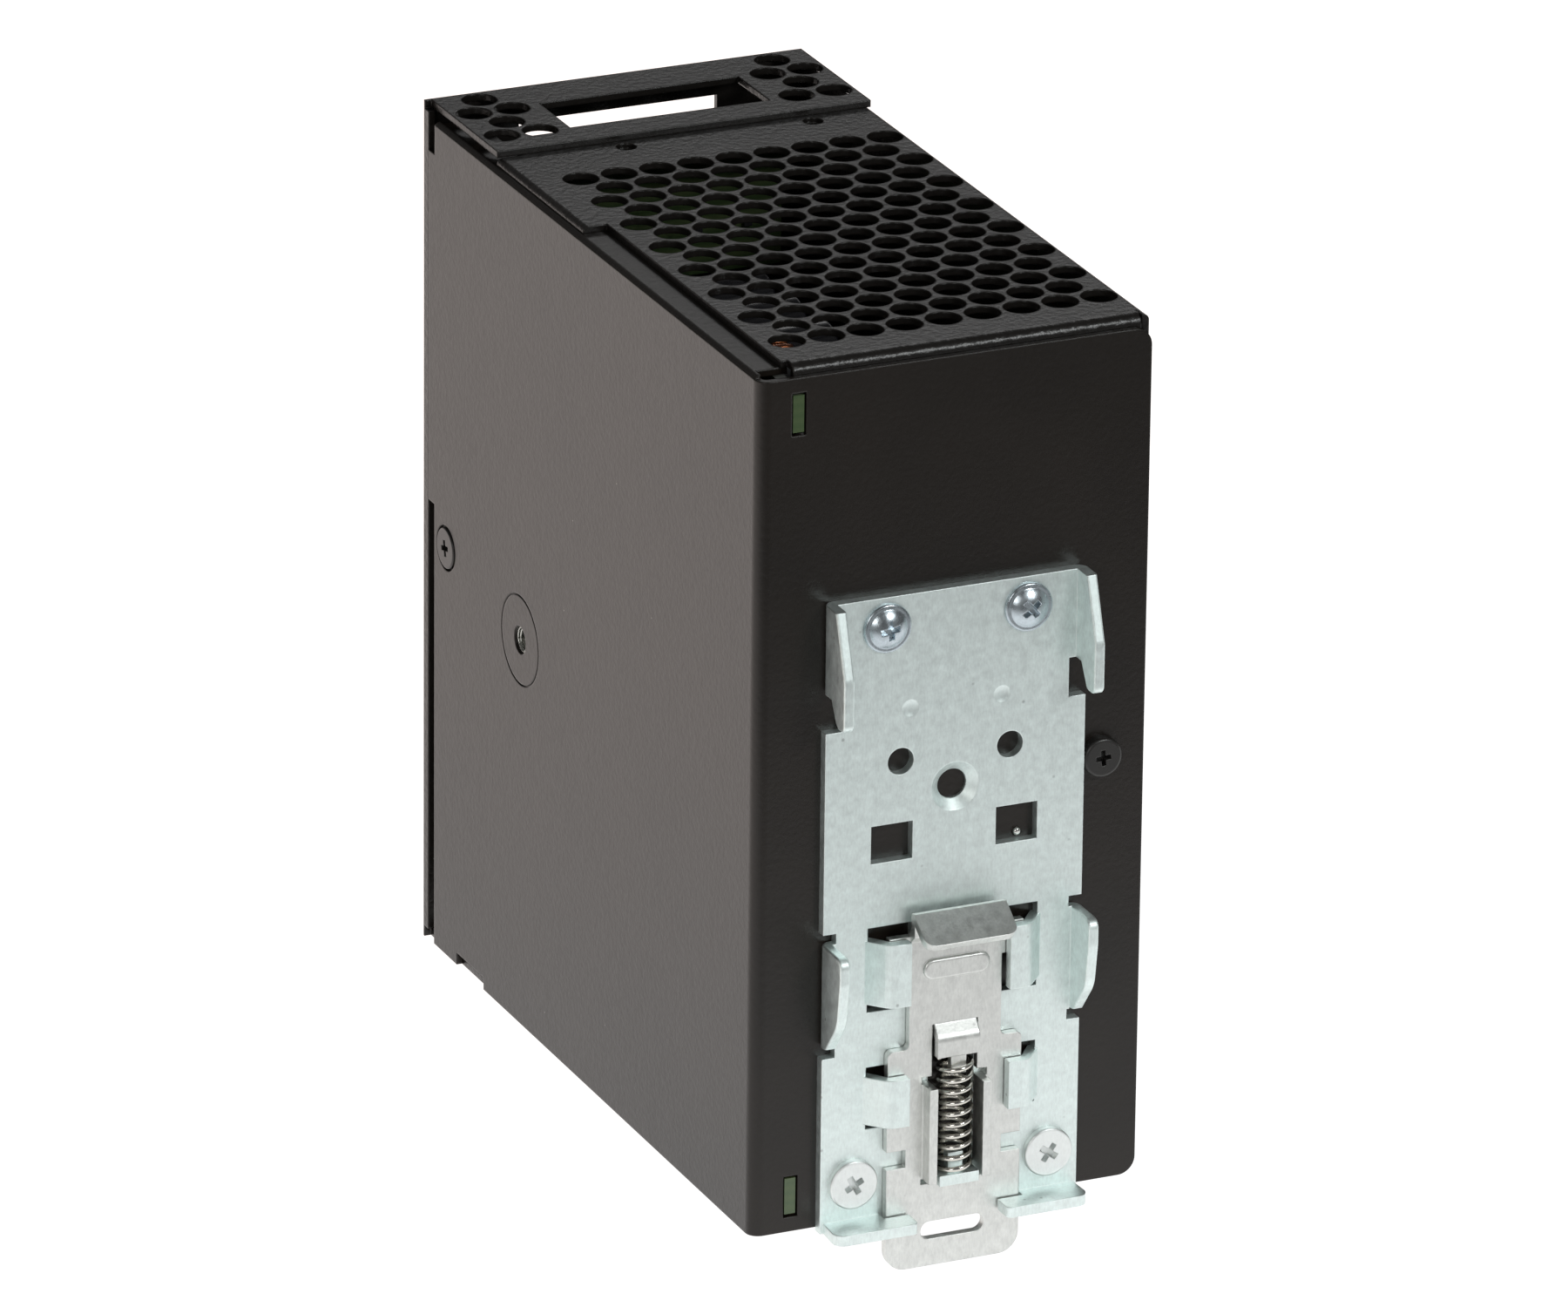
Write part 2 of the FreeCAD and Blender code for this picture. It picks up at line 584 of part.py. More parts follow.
def round_corners(shape, axis, places):
    """Fillet the edges along an axis that pass through the given points: (u, v, radius) each."""
    across = {"x": ("y", "z"), "y": ("x", "z"), "z": ("x", "y")}[axis]
    for u, v, radius in places:
        shape = round_edges(shape, radius, lambda m, d: along(d, axis) and near(getattr(m, across[0]), u)
                            and near(getattr(m, across[1]), v))
    return shape


def round_rims(shape, radius, wanted=lambda centre: True):
    """Fillet the circular edges whose centre is wanted."""
    rims = [e for e in shape.Edges if e.Curve.TypeId == "Part::GeomCircle" and wanted(e.Curve.Center)]
    return shape.makeFillet(radius, rims)


def stadium(centre_z, length, height, y0, y1):
    """Slot with round ends along X on the clip's middle, carried from y0 to y1."""
    radius = height / 2
    reach = length / 2 - radius
    ends = [rod_y(radius, side * reach, y0, y1, centre_z) for side in (-1, 1)]
    return union([block(0, reach, y0, y1, centre_z, radius)] + ends)


def cross_recess(face, direction, radius, depth, turn=0.0):
    """Crossed recess sunk from the middle of a head's face, against its outward direction."""
    half, arm = radius * RECESS_HALF_WIDTH, radius * RECESS_ARM
    x, y, z = face
    if direction[1]:
        end = y - direction[1] * depth
        arms = [block(x, arm, y, end, z, half), block(x, half, y, end, z, arm)]
    else:
        end = x - direction[0] * depth
        arms = [block_x(x, end, y, arm, z, half), block_x(x, end, y, half, z, arm)]
    return union(arms).rotated(Vector(*face), Vector(*direction), turn)


def pan_screw(seat, direction, head_radius, head_height, shank_length, turn):
    """Flat pan-head screw: seat is the point under the head, direction points out of the head."""
    face = tuple(s + d * head_height for s, d in zip(seat, direction))
    head = rod(head_radius, seat, direction, head_height)
    head = round_rims(head, head_height * 0.3, lambda centre: (centre - Vector(*face)).Length < 0.01)
    shank = rod(CASE_SCREW_RADIUS, seat, tuple(-d for d in direction), shank_length)
    return union([head, shank]).cut(cross_recess(face, direction, head_radius, RECESS_DEPTH, turn))


def dome_screw(x, z, turn):
    """Screw of the clip plate with a low dome on a thin flange, head towards +Y."""
    ball = (DOME_RADIUS ** 2 + DOME_HEIGHT ** 2) / (2 * DOME_HEIGHT)
    top = DOME_FLANGE + DOME_HEIGHT
    flange = round_rims(rod_y(DOME_HEAD_RADIUS, x, 0, DOME_FLANGE, z), DOME_FLANGE * 0.6,
                        lambda centre: near(centre.y, DOME_FLANGE))
    crown = rod_y(DOME_RADIUS, x, DOME_FLANGE / 2, top, z)
    dome = Part.makeSphere(ball, Vector(x, top - ball, z)).common(crown)
    shank = rod_y(CLIP_SCREW_RADIUS, x, -CLIP_SCREW_LENGTH, DOME_FLANGE / 2, z)
    recess = cross_recess((x, top, z), (0, 1, 0), DOME_HEAD_RADIUS, RECESS_DEPTH, turn)
    return union([flange, dome, shank]).cut(recess)


# ---------------------------------------------------------------- case
def staggered(first_x, first_y, count, rows):
    """Centres of an equilateral grid: rows towards -Y, every second row one hole shorter."""
    centres = []
    for row in range(rows):
        shift = VENT_PITCH / 2 * (row % 2)
        centres += [(first_x + shift + i * VENT_PITCH, first_y - row * VENT_ROW_STEP)
                    for i in range(count - row % 2)]
    return centres


def top_vents():
    """Vent centres over the cover's top: as many rows and columns as its margins hold."""
    rows = int((CASE_DEPTH - FLANGE_DEPTH - VENT_REAR_MARGIN - VENT_SEAM_MARGIN) / VENT_ROW_STEP) + 1
    count = int((CASE_WIDTH - 2 * VENT_SIDE_MARGIN) / VENT_PITCH) + 1
    first_x = VENT_CENTRE_X - (count - 1) * VENT_PITCH / 2
    return staggered(first_x, Y_BACK - VENT_REAR_MARGIN, count, rows)


def group_vents():
    """Vent centres of the two groups beside a wire slot, rows of one and two holes in turn."""
    centres = []
    for side in (-1, 1):
        middle = TERMINAL_CENTRE_X + side * (SLOT_HALF + VENT_GROUP_GAP)
        for row in range(VENT_GROUP_ROWS):
            offsets = (-VENT_PITCH / 2, VENT_PITCH / 2) if row % 2 else (0.0,)
            y = Y_FRONT + VENT_GROUP_SETBACK + row * VENT_ROW_STEP
            centres += [(middle + offset, y) for offset in offsets]
    return centres


def bent_sheet(z0, z1):
    """Side and back panels as one L with concentric bend radii, carried from z0 to z1."""
    middle = math.sqrt(0.5)
    centre_x, centre_y = HALF - SHEET_BEND, Y_BACK - SHEET_BEND
    inner = SHEET_BEND - SHEET

    def corner(radius, toward_x, toward_y):
        return Vector(centre_x + radius * toward_x, centre_y + radius * toward_y, z0)

    outer_arc = Part.Arc(corner(SHEET_BEND, 1, 0), corner(SHEET_BEND, middle, middle), corner(SHEET_BEND, 0, 1))
    inner_arc = Part.Arc(corner(inner, 0, 1), corner(inner, middle, middle), corner(inner, 1, 0))
    back = [corner(SHEET_BEND, 0, 1), Vector(-HALF, Y_BACK, z0), Vector(-HALF, Y_BACK - SHEET, z0),
            corner(inner, 0, 1)]
    side = [corner(inner, 1, 0), Vector(INNER_RIGHT, Y_SIDE_FRONT, z0), Vector(HALF, Y_SIDE_FRONT, z0),
            corner(SHEET_BEND, 1, 0)]
    edges = [outer_arc.toShape(), inner_arc.toShape()]
    for run in (back, side):
        edges += [Part.makeLine(a, b) for a, b in zip(run, run[1:])]
    return Part.Face(Part.Wire(Part.__sortEdges__(edges))).extrude(Vector(0, 0, z1 - z0))


def clip_screw_places():
    """X and Z of the four screws that hold the clip."""
    return [(side * x, z) for side in (-1, 1) for x, z in
            ((UPPER_SCREW_X, UPPER_SCREW_Z), (LOWER_SCREW_X, LOWER_SCREW_Z))]


def side_dish(face):
    """Round dish in a side's outer face, in which a side screw's head sits."""
    outward = math.copysign(1, face)
    ends = sorted((face - outward * SIDE_SCREW_SINK, face + outward * PAST))
    return rod_x(CASE_SCREW_HEAD + SIDE_DISH_GAP, *ends, SIDE_SCREW_Y, SIDE_SCREW_Z)


def make_chassis():
    """+X side and back in one sheet, with a rounded bend and a flange under the cover."""
    back_top = COVER_TOP - BACK_TOP_DROP
    overlap = 3 * SHEET
    body = bent_sheet(COVER_LOW, back_top)
    body = round_edges(body, CORNER_RADIUS, lambda m, d: along(d, "y") and near(m.x, -HALF))
    side = box(INNER_RIGHT, HALF, Y_SIDE_FRONT, Y_BACK - SHEET_BEND, back_top - overlap, SIDE_TOP)
    flange = box(HALF - SIDE_FLANGE_WIDTH, HALF, Y_SIDE_FRONT + SIDE_FLANGE_FRONT, Y_BACK - SIDE_FLANGE_REAR,
                 SIDE_TOP - SHEET, SIDE_TOP)
    rim = round_edges(union([side, flange]), EDGE_ROUNDING,
                      lambda m, d: along(d, "y") and near(m.x, HALF) and near(m.z, SIDE_TOP))
    reach = box(INNER_RIGHT, HALF, Y_LIP, Y_SIDE_FRONT, SIDE_SCREW_Z + LIP_REACH_START, Z_HIGH - LIP_REACH_DROP)
    body = union([body, rim, reach])

    behind, outside = Y_BACK - SHEET - PAST, Y_BACK + PAST
    inside, beyond = INNER_RIGHT - PAST, HALF + PAST
    notch = Y_FRONT + NOTCH_SETBACK
    cutters = [block(BOARD_X - BOARD_SHEET / 2, BOARD_SLOT_WIDTH / 2, behind, outside, z, BOARD_SLOT_HEIGHT / 2)
               for z in BOARD_TABS_Z]
    cutters.append(box(inside, beyond, notch, notch + NOTCH_LENGTH, COVER_LOW - PAST, Z_LOW + NOTCH_RISE))
    cutters.append(rod_x(CASE_SCREW_RADIUS + SCREW_CLEARANCE, inside, beyond, SIDE_SCREW_Y, SIDE_SCREW_Z))
    cutters.append(side_dish(HALF))
    cutters.append(rod_x(SIDE_NUT_COLLAR, inside, HALF - SIDE_NUT_SINK, SIDE_NUT_Y, SIDE_NUT_Z))
    cutters.append(rod_x(SIDE_HOLE_RADIUS, inside, beyond, SIDE_NUT_Y, SIDE_NUT_Z))
    ring = SIDE_RING_DIAMETER / 2
    groove = HALF - SIDE_RING_GROOVE
    cutters.append(rod_x(ring, groove, beyond, SIDE_NUT_Y, SIDE_NUT_Z).cut(
        rod_x(ring - SIDE_RING_GROOVE, groove, beyond, SIDE_NUT_Y, SIDE_NUT_Z)))
    cutters.append(rod_y(CASE_SCREW_RADIUS + SCREW_CLEARANCE, BACK_SCREW_X, behind, outside, BACK_SCREW_Z))
    cutters += [rod_y(CLIP_SCREW_RADIUS, x, behind, outside, z) for x, z in clip_screw_places()]
    cutters.append(rod_y(PIN_RADIUS, PIN_X, behind, outside, PIN_Z))
    return without(body, cutters)


def make_cover():
    """Perforated top, -X side and bottom in one sheet, with flanges inside the back panel."""
    rear = Y_BACK - SHEET - SHEET_GAP
    seam = Y_SEAM + SHEET_GAP
    flange_edge = HALF - SIDE_FLANGE_WIDTH + SHEET / 2
    tab_edge = HALF - COVER_TAB_INSET
    tab_rear = Y_BACK - COVER_TAB_REACH
    cut_edge = HALF - COVER_CUT_INSET
    fold_front = rear - 2 * SHEET
    right = INNER_RIGHT - SHEET_GAP
    top = prism_z([(-HALF, Y_SEAM - COVER_LAP), (flange_edge, Y_SEAM - COVER_LAP), (flange_edge, seam),
                   (tab_edge, seam), (tab_edge, tab_rear), (cut_edge, tab_rear), (cut_edge, fold_front),
                   (-HALF, fold_front)], COVER_TOP - SHEET, COVER_TOP)
    side = box(-HALF, INNER_LEFT, Y_LIP + COVER_FRONT_GAP, rear, COVER_LOW, COVER_TOP)
    bottom = prism_z([(-HALF, seam), (right, seam), (right, rear - SHEET_BEND), (right - SHEET_BEND, rear),
                      (-HALF, rear)], COVER_LOW, COVER_LOW + SHEET)
    start, end = -HALF + BACK_FLANGE_START, HALF - REAR_FOLD_END
    back_flange = union([
        box(start, end, fold_front, rear, COVER_TOP - SHEET, COVER_TOP),
        box(start, end, rear - SHEET, rear, COVER_TOP - REAR_FOLD_DROP, COVER_TOP),
        box(start, HALF - BACK_FLANGE_END, rear - SHEET, rear, COVER_TOP - BACK_FLANGE_DROP, COVER_TOP)])
    back_flange = round_corners(back_flange, "x", [(rear, COVER_TOP, REAR_ROUNDING)])
    side_flange = box(-HALF, -HALF + SIDE_STRIP_WIDTH, rear - SHEET, rear, Z_LOW + SIDE_STRIP_LOW,
                      Z_HIGH - SIDE_STRIP_DROP)
    body = union([top, side, bottom, back_flange, side_flange])

    body = round_edges(body, EDGE_ROUNDING,
                       lambda m, d: near(m.z, COVER_TOP) and along(d, "y")
                       and (near(m.x, -HALF) or near(m.x, tab_edge)))
    body = round_edges(body, EDGE_ROUNDING,
                       lambda m, d: along(d, "y") and near(m.x, -HALF) and near(m.z, COVER_LOW))
    cutters = [rod_z(VENT_DIAMETER / 2, x, y, COVER_TOP - SHEET - PAST / 2, COVER_TOP + PAST)
               for x, y in top_vents()]
    low_vents = staggered(-HALF + LOW_VENT_START, Y_BACK - LOW_VENT_REAR_MARGIN, LOW_VENT_COUNT,
                          LOW_VENT_ROWS)
    cutters += [rod_z(VENT_DIAMETER / 2, x, y, COVER_LOW - PAST, COVER_LOW + SHEET + PAST)
                for x, y in low_vents]
    for side_sign in (-1, 1):
        x = TERMINAL_CENTRE_X + DIMPLE_SHIFT + side_sign * DIMPLE_SPREAD
        cutters.append(rod_z(DIMPLE_RADIUS, x, Y_SEAM + DIMPLE_SETBACK, COVER_TOP - DIMPLE_DEPTH,
                             COVER_TOP + PAST))
    cutters.append(rod_y(CASE_SCREW_RADIUS, BACK_SCREW_X, rear - SHEET - PAST, rear + PAST, BACK_SCREW_Z))
    cutters.append(rod_x(CASE_SCREW_RADIUS + SCREW_CLEARANCE, -HALF - PAST, INNER_LEFT + PAST,
                         SIDE_SCREW_Y, SIDE_SCREW_Z))
    cutters.append(side_dish(-HALF))
    return without(body, cutters)


def make_front_panel():
    """Front sheet with a slotted flange at top and bottom, side lips and two screw tabs."""
    slot = (TERMINAL_CENTRE_X - SLOT_HALF, TERMINAL_CENTRE_X + SLOT_HALF)
    flange_right = HALF - FLANGE_INSET
    tab = (Y_FRONT, SIDE_SCREW_Y + SCREW_TAB_REACH, SIDE_SCREW_Z - SCREW_TAB_LOW, SIDE_SCREW_Z + SCREW_TAB_HIGH)
    lip = (Y_FRONT, Y_LIP, Z_LOW + LIP_LOW, Z_HIGH - LIP_DROP)
    body = union([
        box(-HALF, HALF, Y_FRONT, Y_FRONT + SHEET, Z_LOW, Z_HIGH),
        box(-HALF, flange_right, Y_FRONT, Y_SEAM, Z_HIGH - SHEET, Z_HIGH),
        box(INNER_LEFT + SHEET_GAP, flange_right, Y_FRONT, Y_SEAM, Z_LOW, Z_LOW + SHEET),
        box(INNER_RIGHT, HALF, *lip),
        box(-HALF, INNER_LEFT, *lip),
        box(INNER_RIGHT - SHEET, INNER_RIGHT, *tab),
        box(INNER_LEFT, INNER_LEFT + SHEET, *tab)])
    body = round_edges(body, PANEL_ROUNDING,
                       lambda m, d: near(m.y, Y_FRONT) and (along(d, "x") or along(d, "z")))

    front, behind = Y_FRONT - PAST, Y_FRONT + SHEET + PAST / 2
    slot_y = Y_FRONT + WIRE_SLOT_SETBACK
    cutters = []
    for low, high in ((Z_HIGH - SHEET - PAST, Z_HIGH + PAST), (Z_LOW - PAST, Z_LOW + SHEET + PAST)):
        cutters.append(box(*slot, slot_y, slot_y + WIRE_SLOT_DEPTH, low, high))
        cutters += [rod_z(VENT_DIAMETER / 2, x, y, low, high) for x, y in group_vents()]
    input_half = INPUT_POLES * TERMINAL_PITCH / 2
    for half, edge, inward in ((SLOT_HALF, Z_HIGH - WINDOW_MARGIN, -1), (input_half, Z_LOW + WINDOW_MARGIN, 1)):
        cutters.append(box(TERMINAL_CENTRE_X - half, TERMINAL_CENTRE_X + half, front, behind,
                           edge, edge + inward * WINDOW_HEIGHT))
    cutters.append(rod_y(TRIMMER_HOLE_RADIUS, TRIMMER_X, front, behind, TRIMMER_Z))
    cutters.append(rod_y(LED_RADIUS + LED_HOLE_CLEARANCE, LED_X, front, behind, LED_Z))
    for x0, x1 in ((-HALF - PAST, INNER_LEFT + 2 * SHEET), (INNER_RIGHT - 2 * SHEET, HALF + PAST)):
        cutters.append(rod_x(CASE_SCREW_RADIUS, x0, x1, SIDE_SCREW_Y, SIDE_SCREW_Z))
    return without(body, cutters)


def screw_tab_space():
    """Room for the front panel's +X screw tab, through the board and the film."""
    gap = SCREW_TAB_GAP
    return box(BOARD_FACE - PAST, HALF, Y_FRONT, SIDE_SCREW_Y + SCREW_TAB_REACH + gap,
               SIDE_SCREW_Z - SCREW_TAB_LOW - gap, SIDE_SCREW_Z + SCREW_TAB_HIGH + gap)


def make_insulating_sheet():
    """Thin film between the board's solder side and the +X side panel."""
    x1 = INNER_RIGHT - FILM_GAP
    x0 = x1 - FILM_SHEET
    sheet = box(x0, x1, Y_SIDE_FRONT + FILM_MARGIN, Y_BACK - FILM_MARGIN, Z_LOW + FILM_MARGIN,
                Z_HIGH - FILM_MARGIN)
    cutters = [rod_x(STANDOFF_RADIUS + FILM_HOLE_GAP, x0 - PAST, HALF, STANDOFF_Y, z) for z in STANDOFFS_Z]
    cutters.append(rod_x(SIDE_NUT_BARREL + FILM_HOLE_GAP, x0 - PAST, HALF, SIDE_NUT_Y, SIDE_NUT_Z))
    cutters.append(screw_tab_space())
    return without(sheet, cutters)


def make_side_nut():
    """Clinch nut set flush in the +X side: the threaded side fixing."""
    start = INNER_RIGHT - SIDE_NUT_LENGTH
    collar = rod_x(SIDE_NUT_COLLAR, INNER_RIGHT, HALF - SIDE_NUT_SINK, SIDE_NUT_Y, SIDE_NUT_Z)
    barrel = rod_x(SIDE_NUT_BARREL, start, INNER_RIGHT, SIDE_NUT_Y, SIDE_NUT_Z)
    return union([collar, barrel]).cut(rod_x(SIDE_NUT_BORE, start - PAST, HALF + PAST, SIDE_NUT_Y, SIDE_NUT_Z))


def make_case_screws():
    """Black screws: front panel to chassis, front panel to cover, back panel to cover."""
    head = (CASE_SCREW_HEAD, SIDE_SCREW_HEAD_HEIGHT, CASE_SCREW_LENGTH)
    seat = HALF - SIDE_SCREW_SINK
    back = (BACK_SCREW_X, Y_BACK, BACK_SCREW_Z)
    return {
        "case_screw_side_right": pan_screw((seat, SIDE_SCREW_Y, SIDE_SCREW_Z), (1, 0, 0), *head,
                                           CASE_SCREW_TURNS["right"]),
        "case_screw_side_left": pan_screw((-seat, SIDE_SCREW_Y, SIDE_SCREW_Z), (-1, 0, 0), *head,
                                          CASE_SCREW_TURNS["left"]),
        "case_screw_back": pan_screw(back, (0, 1, 0), BACK_SCREW_HEAD, BACK_SCREW_HEAD_HEIGHT,
                                     BACK_SCREW_LENGTH, CASE_SCREW_TURNS["back"]),
    }


def make_locating_pin():
    """Small dome-ended pin in the back panel, behind a square hole of the clip."""
    tip = Y_BACK + PIN_STAND
    shank = rod_y(PIN_RADIUS, PIN_X, tip - PIN_LENGTH, tip, PIN_Z)
    return round_rims(shank, PIN_RADIUS * 0.75, lambda centre: near(centre.y, tip))


# ---------------------------------------------------------------- rail clip
def hook_ear(side):
    """Upper ear: a flange whose tail hangs in front of the rail's upper edge."""
    notch, tail = RAIL_TOP + HOOK_LIFT, RAIL_TOP - HOOK_TAIL_DROP
    outline = [(-PLATE_SHEET, notch), (HOOK_GAP, notch), (HOOK_GAP + HOOK_TAIL_SLOPE, tail), (HOOK_REACH, tail),
               (HOOK_REACH, RAIL_TOP + HOOK_CROWN), (HOOK_REACH / 2, PLATE_TOP), (-PLATE_SHEET, PLATE_TOP)]
    ear = prism_x(outline, side * (PLATE_HALF - PLATE_SHEET), side * PLATE_HALF)
    return round_corners(ear, "x", [(HOOK_GAP + HOOK_TAIL_SLOPE, tail, HOOK_TAIL_ROUNDING),
                                    (HOOK_REACH, tail, HOOK_TAIL_ROUNDING),
                                    (HOOK_REACH, RAIL_TOP + HOOK_CROWN, HOOK_CROWN_ROUNDING)])


def lower_ear(side):
    """Lower ear: a tapered flange under the rail's lower edge."""
    outline = [(-PLATE_SHEET, EAR_TOP), (EAR_REACH, EAR_TOP), (EAR_REACH, EAR_TOP - EAR_STEP),
               (EAR_CORNER_REACH, EAR_TOP - EAR_CORNER_DROP), (EAR_END_REACH, EAR_LOW + EDGE_RELIEF),
               (-PLATE_SHEET, EAR_LOW)]
    ear = prism_x(outline, side * (PLATE_HALF - PLATE_SHEET), side * PLATE_HALF)
    return round_corners(ear, "x", [corner + (radius,) for corner, radius in zip(outline[1:], EAR_ROUNDINGS)])


def guide_tab(side, z0, z1):
    """Tab pressed out of the base plate, joggled over the slider's edge."""
    rise = SLIDER_FRONT + GUIDE_CLEARANCE
    knee = SLIDER_HALF + GUIDE_KNEE_GAP
    root = GUIDE_ROOT + EDGE_RELIEF
    inner, outer = (side * (knee - PLATE_SHEET / 3), rise), (side * knee, rise + PLATE_SHEET)
    outline = [(side * root, -PLATE_SHEET), (side * (GUIDE_ROOT - GUIDE_KNEE_GAP), -PLATE_SHEET), inner,
               (side * GUIDE_END, rise), (side * GUIDE_END, rise + PLATE_SHEET), outer, (side * root, 0.0)]
    return round_corners(prism_z(outline, z0, z1), "z", [outer + (GUIDE_ROUNDING,)])


def foot(side):
    """Foot bent out of the plate's lower edge, reaching over the slider's front."""
    low = Z_LOW - FOOT_DROP
    inner, end = SLIDER_HALF + FOOT_SIDE_GAP, SLIDER_HALF - FOOT_LAP
    front = SLIDER_FRONT + FOOT_FRONT_GAP
    outline = [(inner, -PLATE_SHEET), (PLATE_HALF - FOOT_TAPER, -PLATE_SHEET),
               (PLATE_HALF - FOOT_TAPER / 3, FOOT_REACH), (end, FOOT_REACH), (end, front), (inner, front)]
    tab = prism_z([(side * x, y) for x, y in outline], low, low + PLATE_SHEET)
    return round_corners(tab, "z", [(side * (PLATE_HALF - FOOT_TAPER / 3), FOOT_REACH, FOOT_ROUNDING),
                                    (side * end, FOOT_REACH, FOOT_ROUNDING / 2)])


def plate_sheet():
    """The base plate's flat outline with its narrower upper part and fold reliefs."""
    neck = PLATE_HALF - PLATE_SHEET
    relief = neck - EDGE_RELIEF
    shoulder = RAIL_TOP - SHOULDER_DROP
    notch = RAIL_TOP + HOOK_LIFT
    outline = [(PLATE_HALF, Z_LOW - FOOT_DROP), (PLATE_HALF, EAR_LOW - FOLD_RELIEF),
               (relief, EAR_LOW - FOLD_RELIEF), (relief, EAR_LOW), (neck, EAR_LOW), (neck, EAR_TOP),
               (relief, EAR_TOP), (relief, EAR_TOP + FOLD_RELIEF), (PLATE_HALF, EAR_TOP + FOLD_RELIEF),
               (PLATE_HALF, shoulder), (PLATE_HALF - NECK_NOTCH, shoulder), (PLATE_HALF - NECK_NOTCH, notch),
               (neck, notch), (neck, PLATE_TOP)]
    return prism_y(mirrored(outline), -PLATE_SHEET, 0)


def make_clip_base():
    """Zinc-plated base plate with hook ears, guide tabs, feet and the spring's fixed seat."""
    sides = (-1, 1)
    body = union([plate_sheet()] + [piece(side) for side in sides for piece in (hook_ear, lower_ear, foot)])
    body = round_edges(body, PLATE_SHEET, lambda m, d: along(d, "z") and near(m.y, -PLATE_SHEET)
                       and near(abs(m.x), PLATE_HALF) and (m.z > RAIL_TOP or EAR_LOW < m.z < EAR_TOP))
    rims = [e for e in body.Edges if e.BoundBox.XLength < EDGE_RELIEF and e.BoundBox.YMin > HOOK_GAP
            and e.BoundBox.ZMin > EAR_LOW]
    body = body.makeFillet(EDGE_SOFTENING, rims)
    behind, front = -PLATE_SHEET - PAST, PAST
    guides = ((UPPER_GUIDE_LOW, UPPER_GUIDE_TOP), (LOWER_GUIDE_LOW, LOWER_GUIDE_TOP))
    ball = (DOT_RADIUS ** 2 + DOT_DEPTH ** 2) / (2 * DOT_DEPTH)
    cutters = []
    tabs = []
    for side in sides:
        for (low, high), below, above in zip(guides, GUIDE_WINDOW_LOW, GUIDE_WINDOW_HIGH):
            cutters.append(box(side * (GUIDE_END - GUIDE_WINDOW_PAST), side * GUIDE_ROOT, behind, front,
                               low - below, high + above))
            tabs.append(guide_tab(side, low, high))
        cutters.append(Part.makeSphere(ball, Vector(side * DOT_X, ball - DOT_DEPTH, RAIL_TOP - DOT_DROP)))
        cutters.append(rod_y(MOUNT_HOLE_DIAMETER / 2, side * MOUNT_HOLE_X, behind, front, MOUNT_HOLE_Z))
        cutters.append(block(side * SQUARE_X, SQUARE_WIDTH / 2, behind, front, SQUARE_Z, SQUARE_HEIGHT / 2))
    cutters += [rod_y(CLIP_SCREW_RADIUS + SCREW_CLEARANCE, x, behind, front, z) for x, z in clip_screw_places()]
    cutters.append(rod_y(CENTRE_HOLE_DIAMETER / 2, 0, behind, front, CENTRE_HOLE_Z))
    dish = PLATE_SHEET - CENTRE_DISH_LAND
    cutters.append(Part.makeCone(CENTRE_HOLE_DIAMETER / 2, CENTRE_DISH_RADIUS, dish,
                                 Vector(0, -dish, CENTRE_HOLE_Z), Vector(0, 1, 0)))
    cutters.append(box(-WINDOW_HALF, WINDOW_HALF, behind, front, SPRING_LOW, SPRING_TOP + WINDOW_TOP_GAP))
    body = without(body, cutters)
    seat_half = WINDOW_HALF - SEAT_SIDE_GAP
    seat = box(-seat_half, seat_half, -PLATE_SHEET, SEAT_REACH, SEAT_LOW, SPRING_LOW)
    tongue = box(-TONGUE_WIDTH / 2, TONGUE_WIDTH / 2, SPRING_Y - TONGUE_SHEET / 2, SPRING_Y + TONGUE_SHEET / 2,
                 SPRING_LOW, SPRING_LOW + TONGUE_LENGTH)
    return union([body, seat, tongue] + tabs)


def latch_profile(y0):
    """Outline in (y, z) of the slider's joggle, ridge and lead-in lip, for a sheet that starts at y0."""
    sheet, half = SLIDER_SHEET, SLIDER_SHEET / 2
    ridge = RAIL_LOW + LATCH_RISE
    below = RAIL_LOW - EMBOSS_DROP
    joggle = sheet * 1.5
    scale = math.hypot(1, LIP_SLOPE)
    normal_y, normal_z = half * LIP_SLOPE / scale, half / scale
    start_y, start_z = LATCH_STEP + half, ridge - half
    reach = LIP_REACH - LATCH_STEP - sheet
    end_y, end_z = start_y + reach, start_z - reach * LIP_SLOPE
    inner_z = start_z - normal_z - (half + normal_y) * LIP_SLOPE
    outline = [(0, below), (0, RAIL_LOW - sheet * 0.8), (LATCH_STEP, RAIL_LOW + HOOK_LIFT),
               (LATCH_STEP, start_z), (LATCH_STEP + half * 0.4, ridge - half * 0.3),
               (start_y + normal_y, start_z + normal_z), (end_y + normal_y, end_z + normal_z),
               (end_y - normal_y, end_z - normal_z), (LATCH_STEP + sheet, inner_z),
               (LATCH_STEP + sheet, RAIL_LOW - half), (sheet, RAIL_LOW - joggle), (sheet, below)]
    return [(y + y0, z) for y, z in outline]


